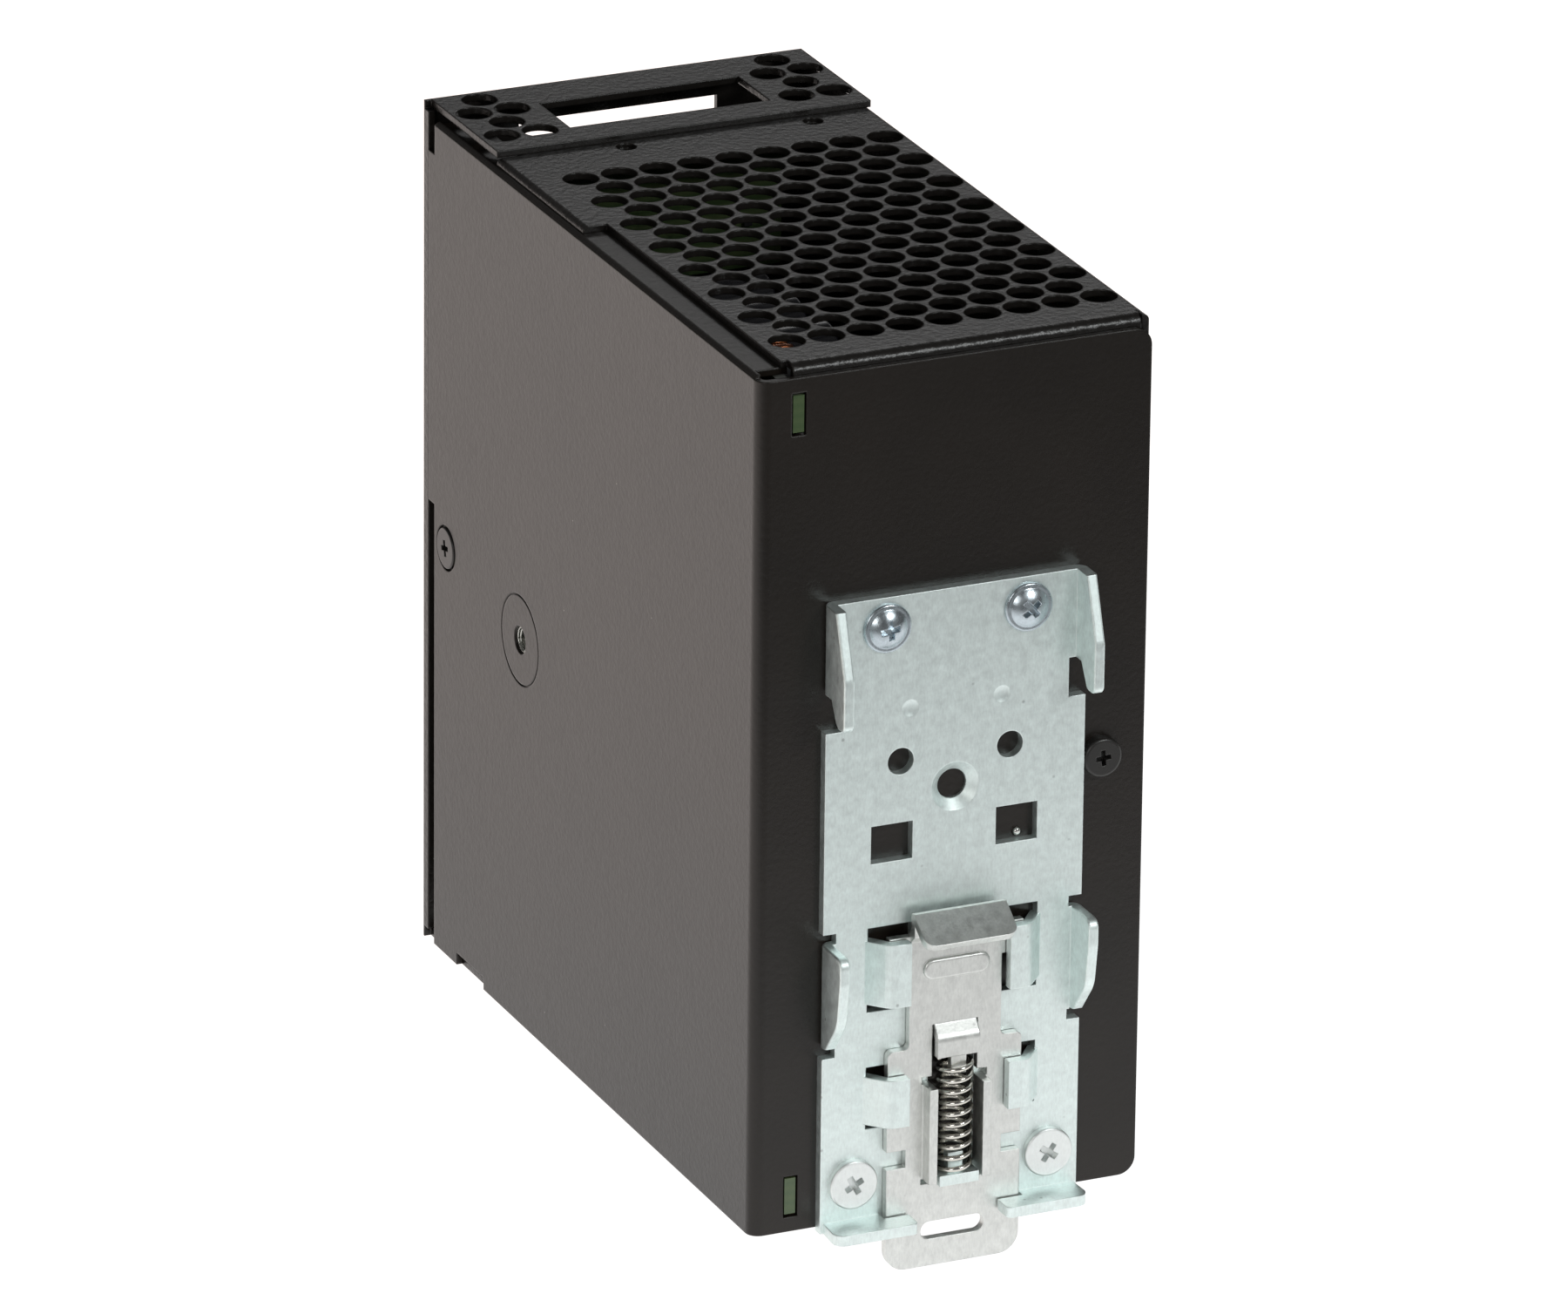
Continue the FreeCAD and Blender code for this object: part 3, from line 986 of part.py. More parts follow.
def make_slider():
    """Sprung latch: joggled hook, wings under the guides, spring window, screwdriver slot."""
    y0, y1 = SLIDER_CLEARANCE, SLIDER_FRONT
    bottom = Z_LOW - SLIDER_OVERHANG
    wing_top = RAIL_LOW - WING_DROP
    wing_low = wing_top - WING_HEIGHT
    outline = [(SLIDER_HALF, bottom), (SLIDER_HALF, SLIDER_SHOULDER), (NECK_HALF, SLIDER_SHOULDER),
               (NECK_HALF, wing_low), (SLIDER_HALF, wing_low), (SLIDER_HALF, wing_top), (NECK_HALF, wing_top),
               (NECK_HALF, RAIL_LOW - 1.5 * SLIDER_SHEET)]
    sheet = prism_y(mirrored(outline), y0, y1)
    sheet = round_edges(sheet, SLIDER_CORNER, lambda m, d: along(d, "y") and near(m.z, bottom))
    sheet = round_edges(sheet, SHOULDER_ROUNDING, lambda m, d: along(d, "y") and near(m.z, SLIDER_SHOULDER))
    body = union([sheet, prism_x(latch_profile(y0), -NECK_HALF, NECK_HALF)])
    body = round_edges(body, LIP_CORNER, lambda m, d: near(abs(m.x), NECK_HALF) and near(d.x, 0)
                       and m.y > LIP_REACH - SLIDER_SHEET and m.z < RAIL_LOW + LATCH_RISE)

    behind, front = y0 - PAST, y1 + PAST
    upstand_low, upstand_top = SLIDER_WINDOW_LOW + UPSTAND_LIFT, SPRING_TOP - UPSTAND_DROP
    ear_half = UPSTAND_HALF + SPRING_TAB_GAP
    notch_low = SLIDER_WINDOW_LOW + GRIP_NOTCH_GAP
    cutters = [
        box(-WINDOW_HALF, WINDOW_HALF, behind, front, SLIDER_WINDOW_LOW, SLIDER_WINDOW_TOP),
        box(-ear_half, ear_half, behind, front, SLIDER_WINDOW_LOW, upstand_low),
        box(-ear_half, ear_half, behind, front, upstand_top, upstand_top + UPSTAND_RELIEF),
        stadium(Z_LOW - PRY_SLOT_DROP, PRY_SLOT_LENGTH, PRY_SLOT_HEIGHT, behind, front)]
    cutters += [box(side * (SLIDER_HALF - GRIP_NOTCH_DEPTH), side * (SLIDER_HALF + PAST), behind, front,
                    notch_low, notch_low + GRIP_NOTCH_HEIGHT) for side in (-1, 1)]
    body = without(body, cutters)

    bead_z = RAIL_LOW - EMBOSS_DROP
    bead = stadium(bead_z, EMBOSS_LENGTH, EMBOSS_HEIGHT, y1 - EMBOSS_RISE / 2, y1 + EMBOSS_RISE)
    bead = bead.makeFillet(EMBOSS_ROUNDING, [e for e in bead.Edges if near(e.BoundBox.YMin, y1 + EMBOSS_RISE)])
    upstands = [box(side * WINDOW_HALF, side * UPSTAND_HALF, y0, y1 + UPSTAND_RISE, upstand_low, upstand_top)
                for side in (-1, 1)]
    bulge = y0 + SPRING_TAB_BULGE
    bulge_front = bulge + SLIDER_SHEET
    root = SLIDER_WINDOW_TOP
    tab_half = WINDOW_HALF - SPRING_TAB_GAP
    inner_start, inner_end, outer_end = [root - drop for drop in SPRING_TAB_BENDS]
    tab = prism_x([(y0, root), (y0, inner_start), (bulge, inner_end), (bulge, SPRING_TOP),
                   (bulge_front, SPRING_TOP), (bulge_front, outer_end), (y1, root)], -tab_half, tab_half)
    tab = round_corners(tab, "x", [(bulge_front, outer_end, SPRING_TAB_ROUNDING)])
    tongue = box(-TONGUE_WIDTH / 2, TONGUE_WIDTH / 2, bulge, bulge + TONGUE_SHEET * 0.8,
                 SPRING_TOP - TONGUE_LENGTH, SPRING_TOP + SLIDER_SHEET / 2)
    return union([body, bead, tab, tongue] + upstands)


def make_spring():
    """Compression spring between the slider's tab and the base plate's seat."""
    wire = SPRING_WIRE / 2
    radius = SPRING_RADIUS - wire
    low = SPRING_LOW + wire + SPRING_END_GAP
    rise = SPRING_LENGTH - SPRING_WIRE - 2 * SPRING_END_GAP
    path = Part.Wire(Part.makeHelix(rise / SPRING_TURNS, rise, radius))
    section = Part.Wire(Part.makeCircle(wire, Vector(radius, 0, 0), Vector(0, 1, 0)))
    coil = path.makePipeShell([section], True, True)
    coil.translate(Vector(0, SPRING_Y, low))
    return coil


def make_clip_screws():
    """Two dome screws above and two flat-headed screws below hold the clip to the back panel."""
    screws = {}
    for name, side in (("left", -1), ("right", 1)):
        upper_turn, lower_turn = CLIP_SCREW_TURNS[name]
        screws["clip_screw_upper_" + name] = dome_screw(side * UPPER_SCREW_X, UPPER_SCREW_Z, upper_turn)
        screws["clip_screw_lower_" + name] = pan_screw(
            (side * LOWER_SCREW_X, 0, LOWER_SCREW_Z), (0, 1, 0), FLAT_HEAD_RADIUS, FLAT_HEAD_HEIGHT,
            CLIP_SCREW_LENGTH, lower_turn)
    return screws


# ---------------------------------------------------------------- terminals
def terminal_row(top):
    """Poles, lower and upper plane, mouth plane and wire direction of one terminal block."""
    if top:
        high = Z_HIGH - TERMINAL_MARGIN
        return OUTPUT_POLES, high - TERMINAL_HEIGHT, high, high, 1
    low = Z_LOW + TERMINAL_MARGIN
    return INPUT_POLES, low, low + TERMINAL_HEIGHT, low, -1


def pole_places(poles):
    """X of each pole's centre."""
    return [TERMINAL_CENTRE_X + (i - (poles - 1) / 2) * TERMINAL_PITCH for i in range(poles)]


def cage_level(top):
    """Z of the cages' centre."""
    mouth, out = terminal_row(top)[3:]
    return mouth - out * (POLE_MOUTH_DEPTH + CAGE_HEIGHT / 2)


def solder_pins(top, y0, y1):
    """One pin per pole from y0 to y1, past the cages."""
    poles, out = terminal_row(top)[0], terminal_row(top)[4]
    z = cage_level(top) - out * (CAGE_HEIGHT / 2 + SOLDER_PIN_DROP)
    return [block(x, SOLDER_PIN_WIDTH / 2, y0, y1, z, SOLDER_PIN / 2) for x in pole_places(poles)]


def make_terminal_block(top):
    """Insulating body with a pocket, a wire mouth and a screw hole for each pole, and its bars."""
    poles, low, high, mouth, out = terminal_row(top)
    centre = cage_level(top)
    half = poles * TERMINAL_PITCH / 2
    body = box(TERMINAL_CENTRE_X - half, TERMINAL_CENTRE_X + half, TERMINAL_FRONT, TERMINAL_REAR, low, high)
    head_end = CLAMP_SEAT_Y + CLAMP_HEAD_CLEARANCE
    pocket_end = CAGE_Y + CAGE_LENGTH + CAGE_END_GAP
    inner, outer = centre - out * CAGE_HEIGHT / 2, centre + out * CAGE_HEIGHT / 2
    cutters = []
    bars = []
    for x in pole_places(poles):
        cutters.append(box(x - POCKET_HALF, x + POCKET_HALF, head_end - CLAMP_HEAD_CLEARANCE / 2, pocket_end,
                           mouth + out * PAST, inner - out * CAGE_FLOOR_GAP))
        cutters.append(rod_y(CLAMP_HEAD_RADIUS + CLAMP_HEAD_CLEARANCE, x, TERMINAL_FRONT - PAST, head_end,
                             centre))
        bars.append(box(x - BAR_HALF, x + BAR_HALF, BAR_Y, BAR_Y + BAR_SHEET,
                        outer - out * BAR_TOP_DROP, inner - out * BAR_TAIL))
    pins = solder_pins(top, BAR_Y, TERMINAL_REAR + BOARD_SHEET + SOLDER_PIN_STAND)
    return union([without(body, cutters)] + bars + pins)


def make_terminal_screw(x, centre):
    """Captive clamp screw with a crossed recess, head towards the front."""
    head = rod_y(CLAMP_HEAD_RADIUS, x, CLAMP_HEAD_Y, CLAMP_SEAT_Y, centre)
    shank = rod_y(CLAMP_SCREW_RADIUS, x, CLAMP_SEAT_Y, BAR_Y - SCREW_TIP_GAP, centre)
    recess = cross_recess((x, CLAMP_HEAD_Y, centre), (0, -1, 0), CLAMP_HEAD_RADIUS, CLAMP_RECESS)
    return union([head, shank]).cut(recess)


def make_cage(x, centre):
    """Rising cage: a ring open up and down, threaded on the screw through its front wall."""
    rear = CAGE_Y + CAGE_LENGTH
    ring = block(x, CAGE_HALF, CAGE_Y, rear, centre, CAGE_HEIGHT / 2)
    inside = block(x, CAGE_HALF - CAGE_SHEET, CAGE_Y + CAGE_SHEET, rear - CAGE_SHEET, centre, CAGE_HEIGHT)
    thread = rod_y(CLAMP_SCREW_RADIUS + THREAD_CLEARANCE, x, CAGE_Y - PAST, BAR_Y + CAGE_TRAVEL, centre)
    return without(ring, [inside, thread])


def make_terminal_board(top):
    """Small board behind a terminal block, joined to the main board at its +X edge."""
    low, high = terminal_row(top)[1:3]
    rear = TERMINAL_REAR + BOARD_SHEET
    board = box(TERMINAL_CENTRE_X - SLOT_HALF - TERMINAL_BOARD_MARGIN, BOARD_FACE, TERMINAL_REAR, rear,
                low - TERMINAL_BOARD_RISE, high + TERMINAL_BOARD_RISE)
    return without(board, solder_pins(top, TERMINAL_REAR - PAST, rear + PAST))


# ---------------------------------------------------------------- board and components
def make_main_board():
    """Upright board parallel to the +X side, with two tabs through the back panel."""
    rear = INNER_BACK - BOARD_REAR_GAP
    board = box(BOARD_FACE, BOARD_X, Y_FRONT + BOARD_FRONT_GAP, rear, Z_LOW + BOARD_BOTTOM_GAP,
                Z_HIGH - BOARD_TOP_GAP)
    tabs = [box(BOARD_FACE, BOARD_X, rear - PAST, Y_BACK - BOARD_TAB_SINK, z - BOARD_TAB_HEIGHT / 2,
                z + BOARD_TAB_HEIGHT / 2) for z in BOARD_TABS_Z]
    holes = [rod_x(STANDOFF_NECK, BOARD_FACE - PAST, BOARD_X + PAST, STANDOFF_Y, z) for z in STANDOFFS_Z]
    return without(union([board] + tabs), holes + [screw_tab_space()])


def make_standoff(z):
    """Spacer glued to the side panel, with a neck that snaps into the board."""
    barrel = rod_x(STANDOFF_RADIUS, BOARD_X, INNER_RIGHT, STANDOFF_Y, z)
    neck = rod_x(STANDOFF_NECK, BOARD_FACE - STANDOFF_HEAD, BOARD_X + PAST, STANDOFF_Y, z)
    return union([barrel, neck])


def can(radius, height, y, z):
    """Capacitor can standing on the board, with a crimp groove and rounded rims."""
    body = round_rims(rod_x(radius, BOARD_FACE - height, BOARD_FACE, y, z), CAN_RIM)
    ring = Part.makeTorus(radius + CAN_GROOVE / 2, CAN_GROOVE, Vector(BOARD_FACE - CAN_GROOVE_RISE, y, z),
                          Vector(1, 0, 0))
    return body.cut(ring)


def ring_x(outer, inner, x0, x1, y, z):
    """Flat ring about an axis along X."""
    return rod_x(outer, x0, x1, y, z).cut(rod_x(inner, x0 - PAST, x1 + PAST, y, z))


def choke(name, outer, bore, thickness, y, z):
    """Ring core and the winding that wraps it, lying flat over the board, with one open sector."""
    x1 = BOARD_FACE - WINDING_LIFT
    x0 = x1 - thickness
    wire = WINDING_WIRE
    core = ring_x(outer - wire, bore + wire, x0 + wire, x1 - wire, y, z)
    skin = round_rims(ring_x(outer, bore, x0, x1, y, z), wire * CHOKE_ROUNDING)
    end = 2 * outer
    sector = prism_x([(y, z), (y + end, z - end * CHOKE_OPENING), (y + end, z + end * CHOKE_OPENING)],
                     x0 - PAST, x1 + PAST / 10)
    base = block_x(x1, BOARD_FACE, y, outer * CHOKE_BASE, z, outer * CHOKE_BASE)
    return {name + "_core": core, name + "_winding": union([without(skin, [core, sector]), base])}


def make_transformer():
    """E cores with a centre leg through the bobbin; the winding fills the two windows."""
    middle = Y_BACK - CORE_SETBACK
    y0, y1 = middle - CORE_DEPTH / 2, middle + CORE_DEPTH / 2
    x1 = BOARD_FACE - CORE_LIFT
    x0 = x1 - CORE_RISE
    half = CORE_HEIGHT / 2
    outline = box(x0, x1, y0, y1, CORE_Z - half, CORE_Z + half)
    windows = [box(x0 + CORE_LEG, x1 - CORE_LEG, y0 - PAST, y1 + PAST, CORE_Z + side * CORE_LEG,
                   CORE_Z + side * (half - CORE_LEG)) for side in (-1, 1)]
    core = without(outline, windows)
    inset = CORE_LEG + BOBBIN_GAP
    winding = box(x0 + inset, x1 - inset, y0 - BOBBIN_WRAP, y1 + BOBBIN_WRAP, CORE_Z - half + inset,
                  CORE_Z + half - inset)
    winding = winding.cut(box(x0, x1, y0, y1, CORE_Z - CORE_LEG, CORE_Z + CORE_LEG))
    pins = [block_x(x1 - inset - PAST, BOARD_FACE, y, BOBBIN_PIN / 2, CORE_Z + step * BOBBIN_PIN_PITCH,
                    BOBBIN_PIN / 2)
            for y in (y0 - BOBBIN_WRAP / 2, y1 + BOBBIN_WRAP / 2) for step in (-1.5, -0.5, 0.5, 1.5)]
    return {"transformer_core": core, "transformer_winding": union([winding] + pins)}


def power_package(y, z):
    """Transistor package against a heat sink's rear face: body, tab with a hole, three legs."""
    base = BOARD_FACE - PACKAGE_LIFT
    shoulder = base - PACKAGE_BODY
    half = PACKAGE_WIDTH / 2
    body = box(shoulder, base, y, y + PACKAGE_THICKNESS, z - half, z + half)
    tab = box(shoulder - PACKAGE_TAB, shoulder, y, y + PACKAGE_TAB_SHEET, z - half, z + half)
    hole = rod_y(PACKAGE_HOLE, shoulder - PACKAGE_HOLE_UP, y - PAST, y + PACKAGE_THICKNESS, z)
    legs = [block_x(base, BOARD_FACE, y + PACKAGE_LEG_SET, PACKAGE_LEG_SHEET / 2, z + step * PACKAGE_LEG_PITCH,
                    PACKAGE_LEG / 2) for step in (-1, 0, 1)]
    return union([body, tab.cut(hole)] + legs)


def make_heat_sinks():
    """Two aluminium plates that stand on the board, with the power devices on their rear faces."""
    y0 = Y_BACK - SINK_SETBACK
    y1 = y0 + SINK_SHEET
    low, top = PRIMARY_SINK_LOW, PRIMARY_SINK_LOW + PRIMARY_SINK_HEIGHT
    upper_low, upper_top = top + SINK_SPACING, Z_HIGH - SECONDARY_SINK_DROP
    base = BOARD_FACE - PACKAGE_LIFT
    bridge_low = low + BRIDGE_LOW
    leg_y = y1 + BRIDGE_THICKNESS / 2
    bridge = [box(base - BRIDGE_RISE, base, y1, y1 + BRIDGE_THICKNESS, bridge_low, bridge_low + BRIDGE_WIDTH)]
    bridge += [block_x(base, BOARD_FACE, leg_y, PACKAGE_LEG_SHEET / 2,
                       bridge_low + (i + 0.5) * BRIDGE_LEG_PITCH, PACKAGE_LEG / 2) for i in range(4)]
    return {
        "primary_heatsink": box(BOARD_FACE - SINK_RISE, BOARD_FACE, y0, y1, low, top),
        "primary_mosfet": power_package(y1, low + MOSFET_RISE),
        "bridge_rectifier": union(bridge),
        "secondary_heatsink": box(BOARD_FACE - SINK_RISE, BOARD_FACE, y0, y1, upper_low, upper_top),
        "output_rectifier": power_package(y1, (upper_low + upper_top) / 2),
    }


def make_led():
    """Round indicator in the front panel, with its holder on the board."""
    tip = Y_FRONT - LED_PROUD
    base = Y_FRONT + LED_HOLDER_SETBACK
    depth, height = LED_HOLDER
    lens = rod_y(LED_RADIUS, LED_X, tip, base + PAST, LED_Z)
    lens = round_rims(lens, LED_RADIUS * 0.6, lambda centre: near(centre.y, tip))
    holder = box(LED_X - height / 2, BOARD_FACE, base, base + depth, LED_Z - height / 2, LED_Z + height / 2)
    return union([lens, holder])


def make_trimmer():
    """Adjuster body on the board's front edge, with its slotted rotor behind the panel."""
    y0 = Y_FRONT + SHEET + TRIMMER_FRONT_GAP
    half = TRIMMER_BODY / 2
    body = box(TRIMMER_X - half, BOARD_FACE, y0, y0 + TRIMMER_DEPTH, TRIMMER_Z - half, TRIMMER_Z + half)
    body = body.cut(rod_y(ROTOR_RADIUS + ROTOR_CLEARANCE, TRIMMER_X, y0 - PAST, y0 + ROTOR_SINK, TRIMMER_Z))
    face = y0 - ROTOR_PROUD
    rotor = rod_y(ROTOR_RADIUS, TRIMMER_X, face, y0 + ROTOR_SINK - ROTOR_CLEARANCE, TRIMMER_Z)
    slot = block(TRIMMER_X, ROTOR_RADIUS * 0.8, face - PAST, face + ROTOR_SLOT_DEPTH, TRIMMER_Z, ROTOR_SLOT / 2)
    return {"trimmer_body": body, "trimmer_rotor": rotor.cut(slot)}


def make_fuse():
    """Cartridge fuse in two clips, along the board's lower edge."""
    y0 = Y_FRONT + FUSE_SETBACK
    z = Z_LOW + FUSE_RISE
    body = rod_y(FUSE_RADIUS, BOARD_FACE - FUSE_LIFT, y0, y0 + FUSE_LENGTH, z)
    clips = [box(BOARD_FACE - FUSE_LIFT, BOARD_FACE, y, y + FUSE_CLIP, z - FUSE_CLIP, z + FUSE_CLIP)
             for y in (y0 + FUSE_CLIP, y0 + FUSE_LENGTH - 2 * FUSE_CLIP)]
    return union([body] + clips)


def make_components():
    """Everything that stands on the main board, in a lower and an upper row from back to front."""
    parts = {}
    y = INNER_BACK - COMPONENT_GAP - BULK_RADIUS
    parts["bulk_capacitor"] = can(BULK_RADIUS, BULK_HEIGHT, y, LOW_ROW_Z)
    y -= BULK_RADIUS + COMPONENT_GAP + PFC_RADIUS
    parts.update(choke("pfc_choke", PFC_RADIUS, PFC_BORE, PFC_THICKNESS, y, LOW_ROW_Z))
    y -= PFC_RADIUS + COMPONENT_GAP + MAINS_CHOKE_RADIUS
    parts.update(choke("mains_choke", MAINS_CHOKE_RADIUS, MAINS_CHOKE_BORE, MAINS_CHOKE_THICKNESS, y,
                       LOW_ROW_Z))

    y = Y_BACK - SINK_SETBACK - OUTPUT_CAN_GAP - OUTPUT_CHOKE_RADIUS
    parts.update(choke("output_choke", OUTPUT_CHOKE_RADIUS, OUTPUT_CHOKE_BORE, OUTPUT_CHOKE_THICKNESS,
                       y, TOP_ROW_Z))
    y -= OUTPUT_CHOKE_RADIUS - OUTPUT_CAN_RADIUS
    for index in range(3):
        y -= 2 * OUTPUT_CAN_RADIUS + OUTPUT_CAN_GAP
        parts["output_capacitor_%d" % (index + 1)] = can(OUTPUT_CAN_RADIUS, OUTPUT_CAN_HEIGHT, y, TOP_ROW_Z)

    parts.update(make_transformer())
    parts.update(make_heat_sinks())
    front = Y_FRONT + X_CAP_SETBACK
    parts["x_capacitor"] = box(BOARD_FACE - X_CAP_RISE, BOARD_FACE, front, front + X_CAP_DEPTH,
                               X_CAP_Z - X_CAP_HEIGHT / 2, X_CAP_Z + X_CAP_HEIGHT / 2)
    front = Y_FRONT + CONTROL_SETBACK
    parts["control_board"] = box(BOARD_FACE - CONTROL_RISE, BOARD_FACE, front, front + CONTROL_DEPTH,
                                 CONTROL_Z, CONTROL_Z + CONTROL_SHEET)
    parts["fuse"] = make_fuse()
    return parts


# ---------------------------------------------------------------- assembly
def make_all():
    """Every node by name."""
    nodes = {
        "chassis": make_chassis(),
        "vented_cover": make_cover(),
        "front_panel": make_front_panel(),
        "insulating_sheet": make_insulating_sheet(),
        "side_clinch_nut": make_side_nut(),
        "locating_pin": make_locating_pin(),
        "clip_base_plate": make_clip_base(),
        "clip_slider": make_slider(),
        "clip_spring": make_spring(),
        "main_board": make_main_board(),
        "status_led": make_led(),
    }
    for made in (make_case_screws(), make_clip_screws(), make_components(), make_trimmer()):
        nodes.update(made)
    for index, z in enumerate(STANDOFFS_Z):
        nodes["board_standoff_%d" % (index + 1)] = make_standoff(z)
    for name, top in (("output", True), ("input", False)):
        nodes[name + "_terminal_block"] = make_terminal_block(top)
        nodes[name + "_terminal_board"] = make_terminal_board(top)
        centre = cage_level(top)
        for index, x in enumerate(pole_places(terminal_row(top)[0])):
            nodes["%s_screw_%d" % (name, index + 1)] = make_terminal_screw(x, centre)
            nodes["%s_cage_%d" % (name, index + 1)] = make_cage(x, centre)
    return nodes


def main():
    """Write one STEP file per node."""
    os.makedirs("parts", exist_ok=True)
    nodes = make_all()
    for name, shape in nodes.items():
        solids = shape.Solids
        if len(solids) == 1:
            shape = solids[0]
        print("%-26s solids %d valid %s volume %.1f" % (name, len(solids), shape.isValid(), shape.Volume))
        shape.exportStep("parts/%s.step" % name)
    print("nodes", len(nodes))


main()
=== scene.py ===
# %% [markdown]
# # A rail power supply, seen from behind
#
# The real thing is a folded sheet-steel case, powder-coated black, with a sprung zinc-plated clip on its
# back. The case and the clip come ready-made from the CAD frame. This lesson gives every part of them a
# finish, adds the small pieces that are easier to compute than to draw, and sets up a plain studio.

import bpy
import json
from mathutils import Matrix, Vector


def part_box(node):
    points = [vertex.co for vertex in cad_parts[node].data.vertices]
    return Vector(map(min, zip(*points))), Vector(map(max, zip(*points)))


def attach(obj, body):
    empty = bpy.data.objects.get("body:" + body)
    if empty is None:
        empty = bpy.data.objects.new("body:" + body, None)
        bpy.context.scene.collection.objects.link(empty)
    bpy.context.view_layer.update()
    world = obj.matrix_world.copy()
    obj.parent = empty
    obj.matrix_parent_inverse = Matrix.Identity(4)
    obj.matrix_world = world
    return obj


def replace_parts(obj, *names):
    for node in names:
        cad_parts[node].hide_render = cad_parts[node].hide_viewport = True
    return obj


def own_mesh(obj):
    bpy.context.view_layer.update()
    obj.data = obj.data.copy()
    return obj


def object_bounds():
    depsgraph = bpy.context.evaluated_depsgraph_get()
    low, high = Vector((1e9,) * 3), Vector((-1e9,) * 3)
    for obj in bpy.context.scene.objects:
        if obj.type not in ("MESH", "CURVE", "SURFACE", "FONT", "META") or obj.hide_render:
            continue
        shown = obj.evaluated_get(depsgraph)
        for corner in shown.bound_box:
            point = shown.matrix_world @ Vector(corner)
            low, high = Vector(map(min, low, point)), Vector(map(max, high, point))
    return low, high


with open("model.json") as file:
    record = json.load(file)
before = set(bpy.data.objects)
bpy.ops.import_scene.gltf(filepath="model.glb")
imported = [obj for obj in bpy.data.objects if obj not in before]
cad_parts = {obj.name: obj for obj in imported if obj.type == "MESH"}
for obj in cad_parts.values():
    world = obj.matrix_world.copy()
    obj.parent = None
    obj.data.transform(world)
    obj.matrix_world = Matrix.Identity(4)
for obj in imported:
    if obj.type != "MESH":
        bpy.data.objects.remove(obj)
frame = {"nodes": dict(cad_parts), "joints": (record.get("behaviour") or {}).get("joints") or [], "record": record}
cad_box = [list(corner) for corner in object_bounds()]
print("CAD box in metres:", cad_box)

# %% Tools and units
import json
import math

import bpy
import numpy as np
from mathutils import Matrix, Vector

MM = 0.001
nodes = frame["nodes"]
slot_of = {part["node"]: part["material_slot"] for part in frame["record"]["subparts"]}
print(len(nodes), "CAD nodes in", len(set(slot_of.values())), "finishes")

# %% [markdown]
# ## Wiring shader nodes
#
# A material is a small tree of nodes. Placing and joining them by hand takes two calls each, so one
# short helper does both: words in small letters are settings of the node, words with a capital are its
# input sockets, and a value that is itself a socket is joined instead of copied.


# %% One helper for every node
def add(tree, kind, **settings):
    """Add a node; capitalised names are input sockets (spaces as underscores), the rest are its settings."""
    node = tree.nodes.new("ShaderNode" + kind)
    for name, value in settings.items():
        if not name[0].isupper():
            setattr(node, name, value)
            continue
        socket = next(s for s in node.inputs if s.enabled and s.name == name.replace("_", " "))
        if isinstance(value, bpy.types.NodeSocket):
            tree.links.new(value, socket)
        else:
            socket.default_value = value
    return node


def first(node):
    """The node's first output that is switched on."""
    return next(s for s in node.outputs if s.enabled)


def remap(tree, value, low, high, to_low=0.0, to_high=1.0):
    """A value's range low to high, carried to another range and held inside it."""
    ramp = add(tree, "MapRange", Value=value, From_Min=low, From_Max=high, To_Min=to_low, To_Max=to_high)
    return first(ramp)


def mix_colour(tree, factor, a, b):
    """Colour a where the factor is 0 and colour b where it is 1."""
    node = add(tree, "Mix", data_type="RGBA", Factor=factor, A=a, B=b)
    return first(node)


def math_node(tree, operation, a, b):
    """One sum, product or power of two values."""
    node = tree.nodes.new("ShaderNodeMath")
    node.operation = operation
    for socket, value in zip(node.inputs, (a, b)):
        if isinstance(value, bpy.types.NodeSocket):
            tree.links.new(value, socket)
        else:
            socket.default_value = value
    return node.outputs[0]


print("helpers ready")

# %% [markdown]
# ## Effects that several finishes share
#
# Powder coat, moulded plastic and oxide-black screws all have some kind of grain; every plated part has
# clouds and rolling streaks; the painted sheets have caught a few specks of dust; and nearly every edge is
# paler, a little rubbed on the moulded parts and a painted highlight on the coat and the plating. Image textures
# could carry all this, but they need unwrapping and stop at their own sharpness. Noise in millimetres works on
# any part at any distance. Each effect is one node group with its own sizes, so that the finishes stay related.
# A group only hands out values, never a shader: the shader stays in the material, where its gloss can be set.


# %% An empty group with named sockets
def group(name, inputs, outputs):
    """Make a group with float inputs {name: default}; an output is a float unless it is a Normal."""
    tree = bpy.data.node_groups.new(name, "ShaderNodeTree")
    for label, default in inputs.items():
        socket = tree.interface.new_socket(label, in_out="INPUT", socket_type="NodeSocketFloat")
        socket.default_value = default
    for label in outputs:
        kind = "NodeSocketVector" if label == "Normal" else "NodeSocketFloat"
        tree.interface.new_socket(label, in_out="OUTPUT", socket_type=kind)
    entry = tree.nodes.new("NodeGroupInput")
    leave = tree.nodes.new("NodeGroupOutput")
    print("group", name, "with", ", ".join(outputs))
    return tree, entry.outputs, leave.inputs


def use_group(tree, made, **values):
    """Place a group in a material with its own values, and return its outputs."""
    node = tree.nodes.new("ShaderNodeGroup")
    node.node_tree = made
    for name, value in values.items():
        node.inputs[name.replace("_", " ")].default_value = value
    return node.outputs


print("group helpers ready")


# %% Grain: the fine skin of powder coat and moulded plastic
NOISE_LOW, NOISE_HIGH = 0.3, 0.7     # nearly all of a noise's values lie between these
COARSE_SCALE, COARSE_SHARE = 0.23, 0.2


